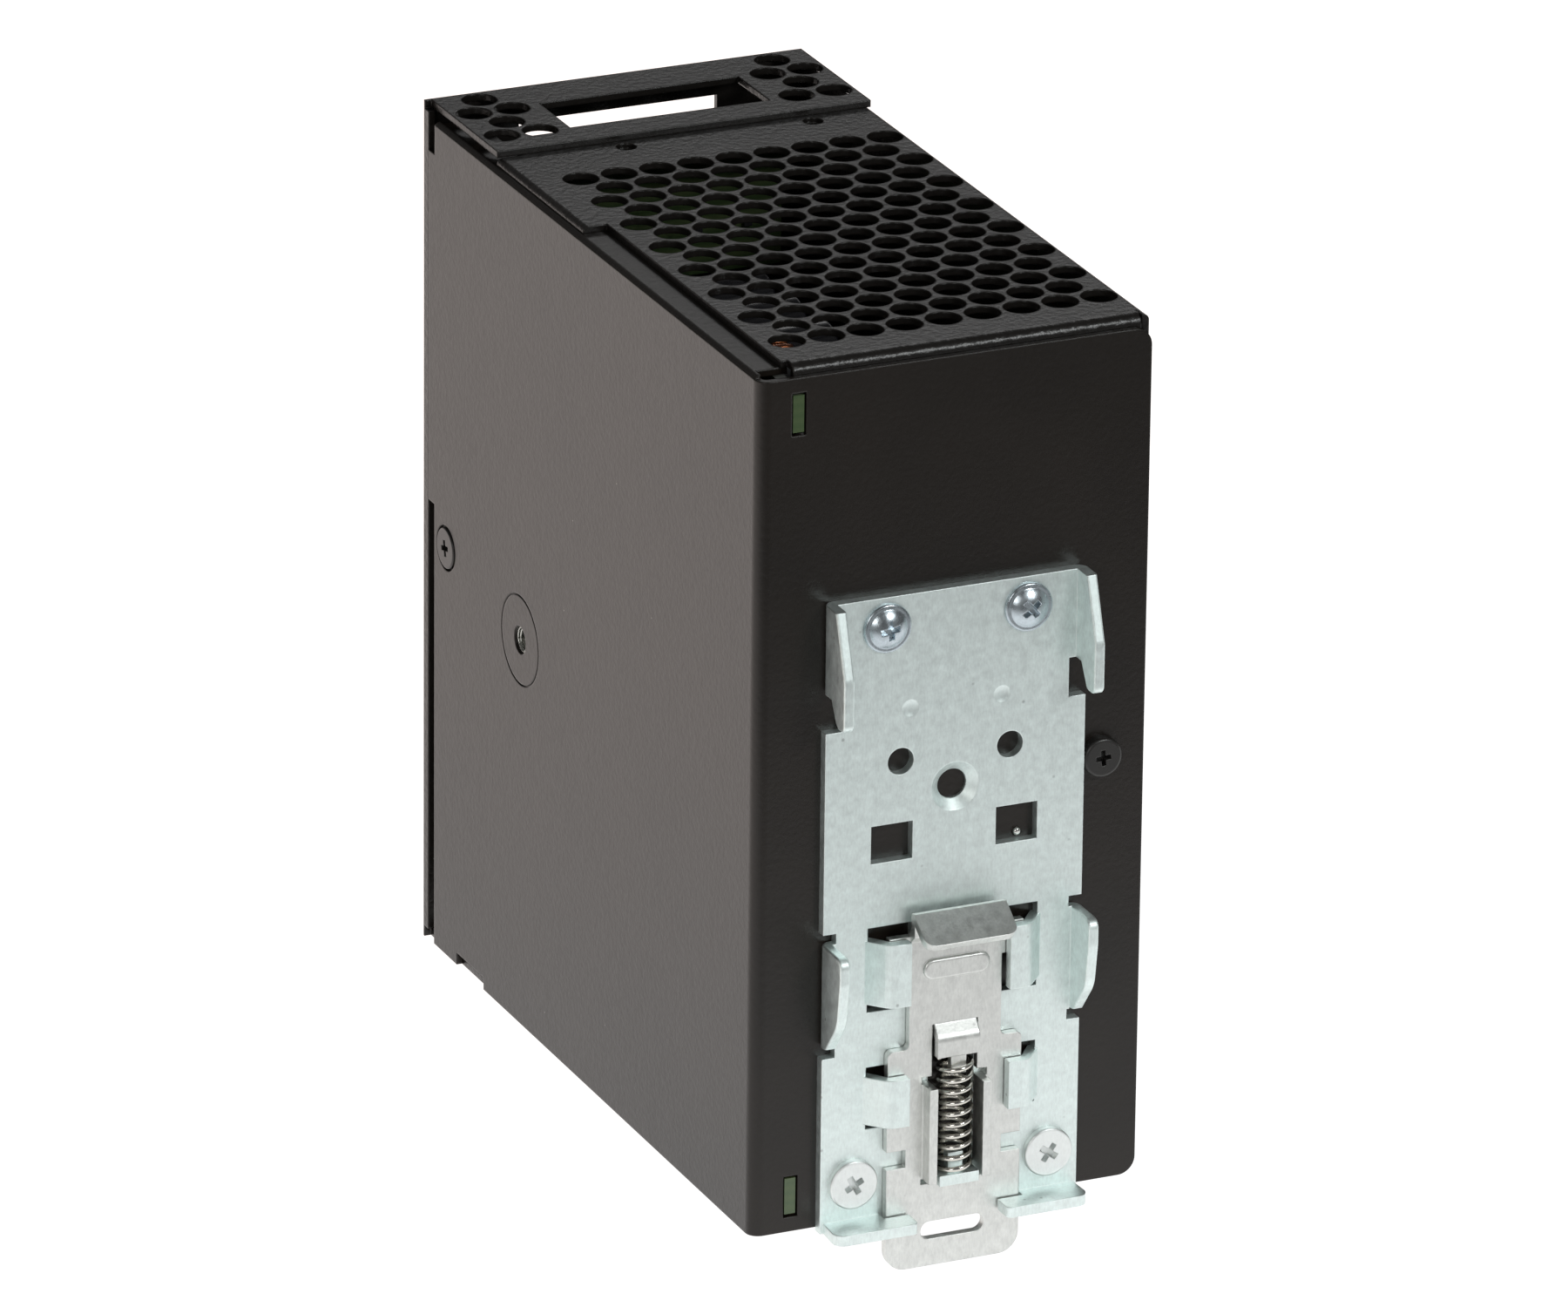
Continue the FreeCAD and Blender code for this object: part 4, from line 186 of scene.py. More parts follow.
def make_grain():
    """Height is noise at the grain's size plus a fifth of a coarser one; Tone is a slow drift."""
    tree, given, out = group("grain", {"Size mm": 0.6, "Drift mm": 18.0}, ("Height", "Tone"))
    where = add(tree, "TexCoord").outputs["Object"]
    fine_scale = math_node(tree, "DIVIDE", 1 / MM, given["Size mm"])
    slow_scale = math_node(tree, "DIVIDE", 1 / MM, given["Drift mm"])
    fine = add(tree, "TexNoise", Vector=where, Scale=fine_scale, Detail=2.5, Roughness=0.55)
    coarse = add(tree, "TexNoise", Vector=where, Scale=math_node(tree, "MULTIPLY", fine_scale, COARSE_SCALE),
                 Detail=1.0)
    slow = add(tree, "TexNoise", Vector=where, Scale=slow_scale, Detail=2.0)
    swell = math_node(tree, "MULTIPLY", coarse.outputs[0], COARSE_SHARE)
    height = math_node(tree, "ADD", fine.outputs[0], swell)
    tree.links.new(height, out["Height"])
    tree.links.new(remap(tree, slow.outputs[0], NOISE_LOW, NOISE_HIGH), out["Tone"])
    return tree


GRAIN = make_grain()


# %% Rolled zinc: streaks along the strip, clouds of crystals and small dark pits
STREAK_STRETCH = (1.0, 1.0, 0.35)
PITTED_FROM = 0.86               # a cell has a pit when its own random number is above this
PIT_RIM = (0.03, 0.13)           # where a pit starts to fade and where it is gone, in cell widths


def make_rolled():
    """Streak is noise stretched along Z; Cloud is blotchy noise; Pit is 1 in a few small cells."""
    tree, given, out = group("rolled", {"Streak mm": 0.3, "Cloud mm": 1.5, "Pit mm": 2.4},
                             ("Streak", "Cloud", "Pit"))
    where = add(tree, "TexCoord").outputs["Object"]
    along = add(tree, "Mapping", Vector=where, Scale=STREAK_STRETCH).outputs[0]
    streak_scale, cloud_scale, pit_scale = (
        math_node(tree, "DIVIDE", 1 / MM, given[size]) for size in ("Streak mm", "Cloud mm", "Pit mm"))
    streak = add(tree, "TexNoise", Vector=along, Scale=streak_scale, Detail=2.0)
    cloud = add(tree, "TexNoise", Vector=where, Scale=cloud_scale, Detail=4.0, Roughness=0.65)
    cell = add(tree, "TexVoronoi", Vector=where, Scale=pit_scale)
    lot = add(tree, "SeparateColor", Color=cell.outputs["Color"])
    chosen = math_node(tree, "GREATER_THAN", lot.outputs[0], PITTED_FROM)
    near = remap(tree, cell.outputs["Distance"], *PIT_RIM, 1.0, 0.0)
    tree.links.new(remap(tree, streak.outputs[0], NOISE_LOW, NOISE_HIGH), out["Streak"])
    tree.links.new(remap(tree, cloud.outputs[0], NOISE_LOW, NOISE_HIGH), out["Cloud"])
    tree.links.new(math_node(tree, "MULTIPLY", chosen, near), out["Pit"])
    return tree


ROLLED = make_rolled()


# %% Dust: a few pale specks
DUSTY_FROM = 0.92                # one cell in twelve has a speck


def make_dust():
    """Speck is 1 close to the centre of one Voronoi cell in twelve, and 0 elsewhere."""
    tree, given, out = group("dust", {"Spacing mm": 3.0, "Speck": 0.05}, ("Speck",))
    where = add(tree, "TexCoord").outputs["Object"]
    cell = add(tree, "TexVoronoi", Vector=where, Scale=math_node(tree, "DIVIDE", 1 / MM, given["Spacing mm"]))
    lot = add(tree, "SeparateColor", Color=cell.outputs["Color"])
    chosen = math_node(tree, "GREATER_THAN", lot.outputs[1], DUSTY_FROM)
    near = math_node(tree, "LESS_THAN", cell.outputs["Distance"], given["Speck"])
    tree.links.new(math_node(tree, "MULTIPLY", chosen, near), out["Speck"])
    return tree


DUST = make_dust()


# %% Edge: a mask of the edges, for rubbed edges and for painted edge highlights
def make_edge():
    """Normal is the surface's, rounded off near edges; Edge is 1 where it leaves the true one, 0 on flats."""
    tree, given, out = group("edge", {"Width mm": 0.25, "Gain": 3.0}, ("Edge", "Normal"))
    soft = add(tree, "Bevel", samples=8, Radius=math_node(tree, "MULTIPLY", given["Width mm"], MM))
    true = add(tree, "NewGeometry").outputs["Normal"]
    agree = tree.nodes.new("ShaderNodeVectorMath")
    agree.operation = "DOT_PRODUCT"
    tree.links.new(soft.outputs[0], agree.inputs[0])
    tree.links.new(true, agree.inputs[1])
    away = math_node(tree, "SUBTRACT", 1.0, agree.outputs["Value"])
    held = add(tree, "Clamp", Value=math_node(tree, "MULTIPLY", away, given["Gain"]))
    tree.links.new(held.outputs[0], out["Edge"])
    tree.links.new(soft.outputs[0], out["Normal"])
    return tree


EDGE = make_edge()

# %% [markdown]
# ## Finishes
#
# Every finish starts from one Principled shader. A recipe then sets the constant values on the shader
# itself and joins only what changes over the surface: a tone to the colour, a tone to the roughness and
# a height to the bump.

# %% The start of every finish
finishes = {}


def finish(name, metallic=0.0, roughness=0.5, **sockets):
    """A new material for one slot; returns its tree and its Principled shader."""
    made = bpy.data.materials.new(name)
    made.use_nodes = True
    tree = made.node_tree
    shader = next(n for n in tree.nodes if n.type == "BSDF_PRINCIPLED")
    shader.inputs["Metallic"].default_value = metallic
    shader.inputs["Roughness"].default_value = roughness
    for label, value in sockets.items():
        shader.inputs[label.replace("_", " ")].default_value = value
    finishes[name] = made
    return tree, shader


def bump(tree, shader, height, depth_mm, edge=None):
    """Join a height to the shader's normal; depth_mm is how deep a height of 1 is."""
    node = add(tree, "Bump", Strength=1.0, Distance=depth_mm * MM, Height=height)
    if edge:
        tree.links.new(edge["Normal"], node.inputs["Normal"])
    tree.links.new(node.outputs[0], shader.inputs["Normal"])


def vary(tree, shader, label, value, low, high):
    """Join a 0 to 1 value to one of the shader's number sockets, carried to low to high."""
    tree.links.new(remap(tree, value, 0.0, 1.0, low, high), shader.inputs[label])


print("ready for recipes")

# %% [markdown]
# ### Powder coat
#
# The case is steel with a thin black powder coat. Powder melts into a skin of tiny rounded hills, so it
# is satin, not glossy, and at a low angle the whole panel turns grey. Dark base, medium roughness and a
# very shallow grain give that; colour alone never would. The side panel and the cover get the same recipe
# with slightly different numbers; the side panel's coat is a little browner.


# %% Recipe for coated sheet
DUST_COLOUR = (0.22, 0.21, 0.19, 1.0)
COAT_TONES = (0.8, 1.2)          # darkest and palest drift of the colour
COAT_SWING = 0.05                # how far the roughness drifts to each side


def powder_coat(name, colour, edge_highlight_colour, roughness, grain_mm, depth_mm):
    """Black coat: a slow drift of tone, a fine grain in the bump, pale dust, and a painted highlight on the edges.
    """
    tree, shader = finish(name, roughness=roughness, IOR=1.42)
    grain = use_group(tree, GRAIN, Size_mm=grain_mm, Drift_mm=22.0)
    edge = use_group(tree, EDGE, Width_mm=0.35, Gain=1.6)
    dust = use_group(tree, DUST, Spacing_mm=3.0, Speck=0.035)
    low, high = ([c * tone for c in colour] + [1.0] for tone in COAT_TONES)
    drift = mix_colour(tree, grain["Tone"], low, high)
    # Painted highlight: the edges get a paler colour, standing in for the light a rounded edge catches.
    edge_highlighted = mix_colour(tree, edge["Edge"], drift, edge_highlight_colour + [1.0])
    dusty = mix_colour(tree, dust["Speck"], edge_highlighted, DUST_COLOUR)
    tree.links.new(dusty, shader.inputs["Base Color"])
    vary(tree, shader, "Roughness", grain["Height"], roughness - COAT_SWING, roughness + COAT_SWING)
    bump(tree, shader, grain["Height"], depth_mm, edge)


# The second colour of each coat is the painted highlight on its edges.
powder_coat("case_paint", [0.0110, 0.0082, 0.0062], [0.022, 0.018, 0.015], 0.33, 0.8, 0.035)
powder_coat("cover_paint", [0.0110, 0.0095, 0.0084], [0.026, 0.023, 0.020], 0.30, 0.9, 0.10)
print("powder coats made")

# %% [markdown]
# ### Zinc plating
#
# The clip is stamped from strip and plated afterwards. Plating follows the strip's rolling streaks and
# leaves faint clouds; its cut edges get a painted highlight, a paler colour where they catch light. The base
# plate is bluish and even, the slider is from a duller bath, the upper screws are bright and the lower ones
# are nearly white.


# %% Recipe for plated steel
PIT_COLOUR = (0.16, 0.16, 0.16, 1.0)
# A painted highlight: edges are given a paler colour, standing in for the light they catch.
EDGE_HIGHLIGHT = 1.22                # how much brighter a cut edge is than the flat
CLOUD_SWING = (-0.05, 0.06)      # roughness in the clouds' dark and pale parts, against its middle


def plated(name, colour, roughness, streak, cloud, pit=0.35, edge_gain=1.5, depth_mm=0.004):
    """Metal whose tone drifts with streaks and clouds, with dark pits and a painted highlight on its edges."""
    tree, shader = finish(name, metallic=1.0, roughness=roughness)
    rolled = use_group(tree, ROLLED)
    edge = use_group(tree, EDGE, Width_mm=0.22, Gain=edge_gain)
    tone = math_node(tree, "ADD", math_node(tree, "MULTIPLY", rolled["Streak"], streak),
                     math_node(tree, "MULTIPLY", rolled["Cloud"], cloud))
    dark = [c * (1 - streak - cloud) for c in colour] + [1.0]
    light = [min(1.0, c * (1 + streak + cloud)) for c in colour] + [1.0]
    body = mix_colour(tree, remap(tree, tone, 0.0, streak + cloud), dark, light)
    pitted = mix_colour(tree, math_node(tree, "MULTIPLY", rolled["Pit"], pit), body, PIT_COLOUR)
    rim = [min(1.0, c * EDGE_HIGHLIGHT) for c in colour] + [1.0]
    # Painted highlight: the edge mask turns the colour paler at every edge.
    bright = mix_colour(tree, edge["Edge"], pitted, rim)
    tree.links.new(bright, shader.inputs["Base Color"])
    vary(tree, shader, "Roughness", rolled["Cloud"], *(roughness + swing for swing in CLOUD_SWING))
    bump(tree, shader, rolled["Streak"], depth_mm, edge)


print("plating recipe ready")

# %% Every plated metal
plated("plate_zinc", [0.79, 0.87, 0.855], 0.50, 0.05, 0.08, pit=0.5, depth_mm=0.004)
plated("slider_zinc", [0.69, 0.70, 0.68], 0.42, 0.06, 0.10, pit=0.5, depth_mm=0.006)
plated("dome_screw_zinc", [0.50, 0.56, 0.60], 0.27, 0.06, 0.12, depth_mm=0.006)
plated("white_zinc", [0.80, 0.83, 0.82], 0.42, 0.03, 0.06, depth_mm=0.004)
plated("spring_steel", [0.66, 0.64, 0.59], 0.16, 0.04, 0.04, pit=0.0, depth_mm=0.001)
plated("nut_steel", [0.62, 0.63, 0.60], 0.24, 0.05, 0.05)
plated("pin_steel", [0.78, 0.78, 0.75], 0.18, 0.02, 0.03, pit=0.0)
plated("terminal_screw", [0.66, 0.66, 0.63], 0.26, 0.04, 0.06)
plated("cage_steel", [0.62, 0.62, 0.60], 0.34, 0.05, 0.07)
plated("sink_aluminium", [0.70, 0.71, 0.72], 0.38, 0.10, 0.04, pit=0.1)
print("plated metals made")

# %% [markdown]
# ### Moulded, potted and coated parts
#
# Inside the case and behind the terminal windows are moulded plastics, potted parts, ferrite and tape. They
# are seen through small holes, yet each keeps its own colour, grain and gloss. The case's black screws are
# close enough to join them. One recipe serves them all, because what tells them apart is only colour, size
# of grain and how sharply they mirror.


# %% Recipe for moulded and coated parts
MOULD_SWING = 0.06               # how far the roughness drifts to each side
RIM_GAIN, RIM_LIFT = 1.5, 0.02   # a rubbed edge's colour is the flat's, times the first plus the second


def moulded(name, colour, roughness, grain_mm=0.5, depth_mm=0.01, spread=0.12, **sockets):
    """Plain solid colour with a slow drift, a fine grain and slightly paler edges."""
    tree, shader = finish(name, roughness=roughness, **sockets)
    grain = use_group(tree, GRAIN, Size_mm=grain_mm, Drift_mm=9.0)
    edge = use_group(tree, EDGE, Width_mm=0.2, Gain=1.2)
    low = [c * (1 - spread) for c in colour] + [1.0]
    high = [min(1.0, c * (1 + spread)) for c in colour] + [1.0]
    body = mix_colour(tree, grain["Tone"], low, high)
    rim = [min(1.0, c * RIM_GAIN + RIM_LIFT) for c in colour] + [1.0]
    tree.links.new(mix_colour(tree, edge["Edge"], body, rim), shader.inputs["Base Color"])
    vary(tree, shader, "Roughness", grain["Height"], roughness - MOULD_SWING, roughness + MOULD_SWING)
    bump(tree, shader, grain["Height"], depth_mm, edge)


print("moulding recipe ready")

# %% Every moulded part
moulded("black_screw", [0.016, 0.015, 0.014], 0.34, 0.3, 0.004)
moulded("black_film", [0.012, 0.012, 0.012], 0.30, 0.8, 0.004)
moulded("terminal_plastic", [0.022, 0.022, 0.024], 0.42, 0.4, 0.012)
moulded("can_black", [0.012, 0.012, 0.016], 0.22, 1.2, 0.004, Coat_Weight=0.3)
moulded("ferrite", [0.045, 0.045, 0.046], 0.55, 0.35, 0.02)
moulded("film_yellow", [0.55, 0.40, 0.05], 0.30, 1.0, 0.004)
moulded("tape_yellow", [0.62, 0.47, 0.07], 0.34, 1.5, 0.006)
moulded("epoxy_black", [0.018, 0.018, 0.018], 0.48, 0.25, 0.012)
moulded("fuse_ceramic", [0.66, 0.64, 0.58], 0.22, 0.8, 0.004)
moulded("nylon_white", [0.66, 0.64, 0.58], 0.40, 0.6, 0.006)
moulded("trimmer_blue", [0.03, 0.08, 0.34], 0.36, 0.4, 0.008)
moulded("rotor_white", [0.70, 0.70, 0.67], 0.34, 0.4, 0.006)
print("moulded parts made")

# %% [markdown]
# ### Circuit board
#
# A board is woven glass in green lacquer, with copper tracks that stand up under it. Two of its tabs show
# in the back of the case. Two crossed wave textures make the cloth, and square Voronoi cells stand for the
# copper areas; drawing real tracks would be wasted behind such small holes.


# %% Board
CLOTH_SCALE = 220.0              # wave texture scale, about 1.4 mm from thread to thread
TRACK_SCALE = 160.0              # copper areas per metre
TRACK_EDGE = (0.32, 0.36)        # where a copper area ends, in cell widths
LACQUER, OVER_COPPER = (0.030, 0.055, 0.022, 1.0), (0.050, 0.085, 0.032, 1.0)
CLOTH, CLOTH_SHOWS = (0.15, 0.17, 0.07, 1.0), 0.35


def circuit_board():
    """Cloth = wave along y * wave along z; copper = 1 where a cell's distance is past the track's edge."""
    tree, shader = finish("board_green", roughness=0.32, Coat_Weight=0.25)
    where = add(tree, "TexCoord").outputs["Object"]
    waves = [add(tree, "TexWave", Vector=where, bands_direction=axis, Scale=CLOTH_SCALE, Distortion=0.4)
             for axis in ("Y", "Z")]
    weave = math_node(tree, "MULTIPLY", waves[0].outputs["Fac"], waves[1].outputs["Fac"])
    tracks = add(tree, "TexVoronoi", Vector=where, distance="MANHATTAN", Scale=TRACK_SCALE)
    copper = remap(tree, tracks.outputs["Distance"], *TRACK_EDGE)
    body = mix_colour(tree, copper, LACQUER, OVER_COPPER)
    woven = mix_colour(tree, math_node(tree, "MULTIPLY", weave, CLOTH_SHOWS), body, CLOTH)
    tree.links.new(woven, shader.inputs["Base Color"])
    vary(tree, shader, "Roughness", weave, 0.28, 0.42)
    bump(tree, shader, math_node(tree, "ADD", copper, weave), 0.01)


circuit_board()
print("board made")

# %% [markdown]
# ### Enamelled wire and the indicator's lens
#
# Winding wire is bare copper in a thin clear enamel, so it is a metal with a coat on top: the metal gives
# the red, the coat a second, sharper highlight; the red is also darkened as painted shade for the wire's place
# deep inside the case. The indicator is clear epoxy with dye in it. A little subsurface light is enough for
# a lens this small; real transmission would need something bright behind it.


# %% Wire and lens
# Both tones are darker than the copper's own red: painted shade for the inside of the case.
SHADED_COPPER_DARK, SHADED_COPPER_PALE = (0.26, 0.08, 0.035, 1.0), (0.42, 0.15, 0.06, 1.0)
LENS_DARK, LENS_PALE = (0.05, 0.42, 0.09, 1.0), (0.11, 0.62, 0.16, 1.0)


def enamelled_wire():
    """Copper under clear enamel: metal with a thin coat and a slow drift of tone, darkened as painted shade."""
    tree, shader = finish("copper", metallic=1.0, roughness=0.26, Coat_Weight=0.6, Coat_Roughness=0.1)
    grain = use_group(tree, GRAIN, Size_mm=0.8, Drift_mm=5.0)
    tree.links.new(mix_colour(tree, grain["Tone"], SHADED_COPPER_DARK, SHADED_COPPER_PALE), shader.inputs["Base Color"])
    vary(tree, shader, "Roughness", grain["Height"], 0.2, 0.34)


def indicator_lens():
    """Tinted clear epoxy with faint flow marks."""
    tree, shader = finish("led_green", roughness=0.14, IOR=1.54, Subsurface_Weight=0.2)
    grain = use_group(tree, GRAIN, Size_mm=1.2, Drift_mm=2.0)
    tree.links.new(mix_colour(tree, grain["Tone"], LENS_DARK, LENS_PALE), shader.inputs["Base Color"])
    bump(tree, shader, grain["Height"], 0.004)


enamelled_wire()
indicator_lens()
print(len(finishes), "finishes made")

# %% [markdown]
# ## Dressing the CAD parts
#
# The frame's parts already sit where they belong, and their meshes are never touched. The record says for
# each one which finish it has, so dressing them is one loop over their material slots.

# %% One loop for all parts
for name, part in nodes.items():
    for slot in part.material_slots:
        slot.material = finishes[slot_of[name]]
print("dressed", len(nodes), "parts")

# %% [markdown]
# ## Wound wire
#
# A choke is wound by passing one round wire through a ring again and again. The turns touch in the bore
# and fan out on the rim, so the ferrite shows between them. A smooth skin can't show that, so each winding
# is replaced by its real wire. A bevelled curve could make it too; a path worked out as one array is
# quicker to change, and the same sweep also gives the nut's thread and the clip's spring.


# %% A round wire along any path
def wire_mesh(name, path, outward, radius, sides=8):
    """Circles carried along the path: centre + radius * (cos u * normal + sin u * binormal), ends closed."""
    step = np.gradient(path, axis=0)
    tangent = step / np.linalg.norm(step, axis=1, keepdims=True)
    binormal = np.cross(tangent, outward)
    binormal /= np.linalg.norm(binormal, axis=1, keepdims=True)
    normal = np.cross(binormal, tangent)
    u = np.linspace(0.0, 2 * np.pi, sides, endpoint=False)[None, :, None]
    rings = path[:, None, :] + radius * (np.cos(u) * normal[:, None, :] + np.sin(u) * binormal[:, None, :])
    index = np.arange(len(path) * sides).reshape(len(path), sides)
    beside = np.roll(index, -1, axis=1)
    walls = np.stack([index[:-1], beside[:-1], beside[1:], index[1:]], axis=-1).reshape(-1, 4)
    caps = [index[0, ::-1].tolist(), index[-1].tolist()]
    mesh = bpy.data.meshes.new(name)
    mesh.from_pydata(rings.reshape(-1, 3).tolist(), [], walls.tolist() + caps)
    mesh.polygons.foreach_set("use_smooth", [True] * len(walls) + [False] * len(caps))
    print(name, "has", len(mesh.polygons), "faces")
    return mesh


def place(name, mesh, body, slot):
    """A finished piece: its own object at the origin, on a body, in a finish."""
    made = bpy.data.objects.new(name, mesh)
    bpy.context.scene.collection.objects.link(made)
    mesh.materials.append(finishes[slot])
    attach(made, body)
    return made


def length_of(path):
    """The sum of the distances from each point to the next."""
    return float(np.linalg.norm(np.diff(path, axis=0), axis=1).sum())


print("wire helpers ready")


# %% The path of a toroidal winding
BLUNTNESS = 10                   # 2 is an ellipse, more is nearer to a rectangle
TURN_POINTS = 48
LEAD_POINTS = 5
BASE_SHEET = 0.3 * MM            # between a ring and the board


def winding_path(low, high, bore, wire, turns, opening):
    """Section angle a turns many times while ring angle b goes round once, short of the opening.

    The section is a superellipse: its reach and rise are cos a and sin a, divided by the n-th root of the
    sum of their n-th powers, with n the bluntness. Radius = middle + half width * reach; height over the
    board = middle + half height * rise. Straight leads carry on from both ends into the board.
    """
    outer = (high[2] - low[2]) / 2
    centre_y, centre_z = low[1] + outer, (low[2] + high[2]) / 2
    top, bottom = low[0] + wire / 2, high[0] - BASE_SHEET - wire / 2
    a = np.linspace(0.0, 2 * np.pi * (turns + 0.5), turns * TURN_POINTS)
    b = opening + (2 * np.pi - 2 * opening) * a / a[-1]
    blunt = (np.abs(np.cos(a)) ** BLUNTNESS + np.abs(np.sin(a)) ** BLUNTNESS) ** (1 / BLUNTNESS)
    reach, rise = np.cos(a) / blunt, np.sin(a) / blunt
    radius = (outer + bore) / 2 + ((outer - bore) / 2 - wire / 2) * reach
    x = (top + bottom) / 2 - (bottom - top) / 2 * rise
    path = np.stack([x, centre_y + radius * np.cos(b), centre_z + radius * np.sin(b)], axis=-1)
    outward = np.stack([-rise, reach * np.cos(b), reach * np.sin(b)], axis=-1)
    down = np.array([[high[0] - x[0], 0.0, 0.0]])
    lead = np.linspace(1.0, 0.0, LEAD_POINTS, endpoint=False)[:, None] * down
    path = np.concatenate([path[0] + lead, path, path[-1] + lead[::-1]])
    held = [np.repeat(outward[end], LEAD_POINTS, axis=0) for end in (slice(0, 1), slice(-1, None))]
    return path, np.concatenate([held[0], outward, held[1]])


print("the section reaches", round(2 ** (-1 / BLUNTNESS), 2), "of the way into its corners")


# %% The three windings
OPENING = math.radians(14)
# bore, wire diameter (both mm) and number of turns
WINDINGS = {"pfc_choke": (6.0, 1.10, 31), "mains_choke": (3.8, 1.05, 21), "output_choke": (3.6, 1.10, 19)}
for choke, (bore, wire, turns) in WINDINGS.items():
    low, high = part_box(choke + "_winding")
    path, outward = winding_path(low, high, bore * MM, wire * MM, turns, OPENING)
    turned = wire_mesh(choke + "_turns", path, outward, wire * MM / 2)
    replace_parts(place(choke + "_turns", turned, "case", "copper"), choke + "_winding")
    print(choke, "wire length", round(length_of(path), 2), "m")

# %% [markdown]
# ### The nut's thread
#
# The nut pressed into the side panel takes a machine screw. Its thread is a helix along the bore, as fine
# as the pitch says. Only the crests matter to the eye, so a thin ridge swept along the bore does it; a
# bump pattern would leave the bore's outline smooth.


# %% A helix along one axis
def helix(axis, centre, radius, start, end, turns, first_angle, steps):
    """With t from 0 to 1: angle a = first angle + 2 pi turns t, and height = start + (end - start) t.

    Height runs along the axis; across it, each point is the centre + radius * (cos a, sin a). Gives the path
    and, for each point, the direction away from the axis.
    """
    t = np.linspace(0.0, 1.0, steps)
    a = first_angle + 2 * np.pi * turns * t
    outward = np.insert(np.stack([np.cos(a), np.sin(a)], axis=-1), axis, 0.0, axis=1)
    path = np.array(centre) + radius * outward
    path[:, axis] = start + (end - start) * t
    return path, outward


ring, _ = helix(2, [0.0, 0.0, 0.0], 1.0, 0.0, 0.0, 1, 0.0, 200)
print("one flat turn of radius 1 measures", round(length_of(ring), 3))


# %% The thread in the side nut
THREAD_PITCH, THREAD_ROUND = 0.7 * MM, 0.13 * MM
NUT_BORE = 1.65 * MM
THREAD_POINTS = 160
low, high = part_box("side_clinch_nut")
centre = [0.0, (low[1] + high[1]) / 2, (low[2] + high[2]) / 2]
start, end = low[0] + 2 * THREAD_ROUND, high[0] - 2 * THREAD_ROUND
turns, first_angle = (end - start) / THREAD_PITCH, 2 * np.pi * start / THREAD_PITCH
path, outward = helix(0, centre, NUT_BORE, start, end, turns, first_angle, THREAD_POINTS)
thread_mesh = wire_mesh("side_nut_thread", path, outward, THREAD_ROUND, sides=6)
place("side_nut_thread", thread_mesh, "case", "nut_steel")
print("thread turns:", round(turns, 1))

# %% [markdown]
# ### The clip's spring, swept again
#
# Pulling the slider presses the clip's spring together. A part that only rides along can't show that,
# because one end stays while the other moves. So the spring is swept again from its own helix, in place of
# the CAD spring, and given a mesh of its own.

# %% The clip's spring
SPRING_WIRE, SPRING_TURNS = 0.75 * MM, 10
SPRING_TURN_POINTS = 36
slider_travel = next(j for j in frame["joints"] if j["name"] == "slider_pull")["range_m"][1]
low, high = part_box("clip_spring")
centre = [(low[0] + high[0]) / 2, (low[1] + high[1]) / 2, 0.0]
radius = (high[0] - low[0] - SPRING_WIRE) / 2
start, end = low[2] + SPRING_WIRE / 2, high[2] - SPRING_WIRE / 2
path, outward = helix(2, centre, radius, start, end, SPRING_TURNS, 0.0, SPRING_TURN_POINTS * SPRING_TURNS + 1)
coil_mesh = wire_mesh("clip_spring_coil", path, outward, SPRING_WIRE / 2, sides=12)
coil = place("clip_spring_coil", coil_mesh, "case", "spring_steel")
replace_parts(coil, "clip_spring")
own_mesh(coil)

# %% [markdown]
# ## Floor
#
# The floor does more than carry the object: a satin panel seen at a low angle mirrors what lies beyond it,
# and that is what turns the black side panel grey. A white sheet lit from above could do it, but then the
# lamps that make it white would also bleach the zinc. So the floor glows by itself, like a light table. It
# glows evenly under and in front of the object and fades out on the clip's side, so that the back panel
# mirrors little light and stays black. A faint warm tint on one side gives the side panel its brown cast.
# The clip's slider reaches below the case when it is pulled, so the floor lies lower than that.


# %% The floor's surface
def floor_sheet(half, height, steps):
    """A square grid: x and y run from -half to half in equal steps, z is constant."""
    run = np.linspace(-half, half, steps)
    x, y = np.meshgrid(run, run)
    points = np.stack([x, y, np.full_like(x, height)], axis=-1).reshape(-1, 3)
    index = np.arange(steps * steps).reshape(steps, steps)
    faces = np.stack([index[:-1, :-1], index[:-1, 1:], index[1:, 1:], index[1:, :-1]], axis=-1).reshape(-1, 4)
    mesh = bpy.data.meshes.new("floor")
    mesh.from_pydata(points.tolist(), [], faces.tolist())
    return bpy.data.objects.new("floor", mesh)


FLOOR_HALF, FLOOR_LINES = 4.0, 5
FLOOR_MARGIN = 1.5 * MM
floor_height = cad_box[0][2] - slider_travel - FLOOR_MARGIN
floor = floor_sheet(FLOOR_HALF, floor_height, FLOOR_LINES)
bpy.context.scene.collection.objects.link(floor)
print("floor at", round(floor_height, 4))

# %% The floor's glow
GLOW, DIM = 1.03, 0.03
FADE = (0.08, 0.26)              # along y: full glow before the first, dim after the second
FAR_STEP = (-0.08, 0.04)         # along y: a little brighter still before the first
WARM_BAND = (0.0, 0.35)          # along x - y: neutral before the first, warm after the second
FADE_WANDER = 0.02               # how far the fade's edge wanders with the mottle, in metres
NEUTRAL, WARM = (1.0, 1.0, 1.0, 1.0), (1.16, 1.05, 1.0, 1.0)
FLOOR_GREY = (0.25, 0.25, 0.25, 1.0)
tree, shader = finish("floor_white", roughness=0.8, Base_Color=FLOOR_GREY, Specular_IOR_Level=0.1)
where = add(tree, "SeparateXYZ", Vector=add(tree, "TexCoord").outputs["Object"])
mottle = use_group(tree, GRAIN, Size_mm=60.0, Drift_mm=400.0)
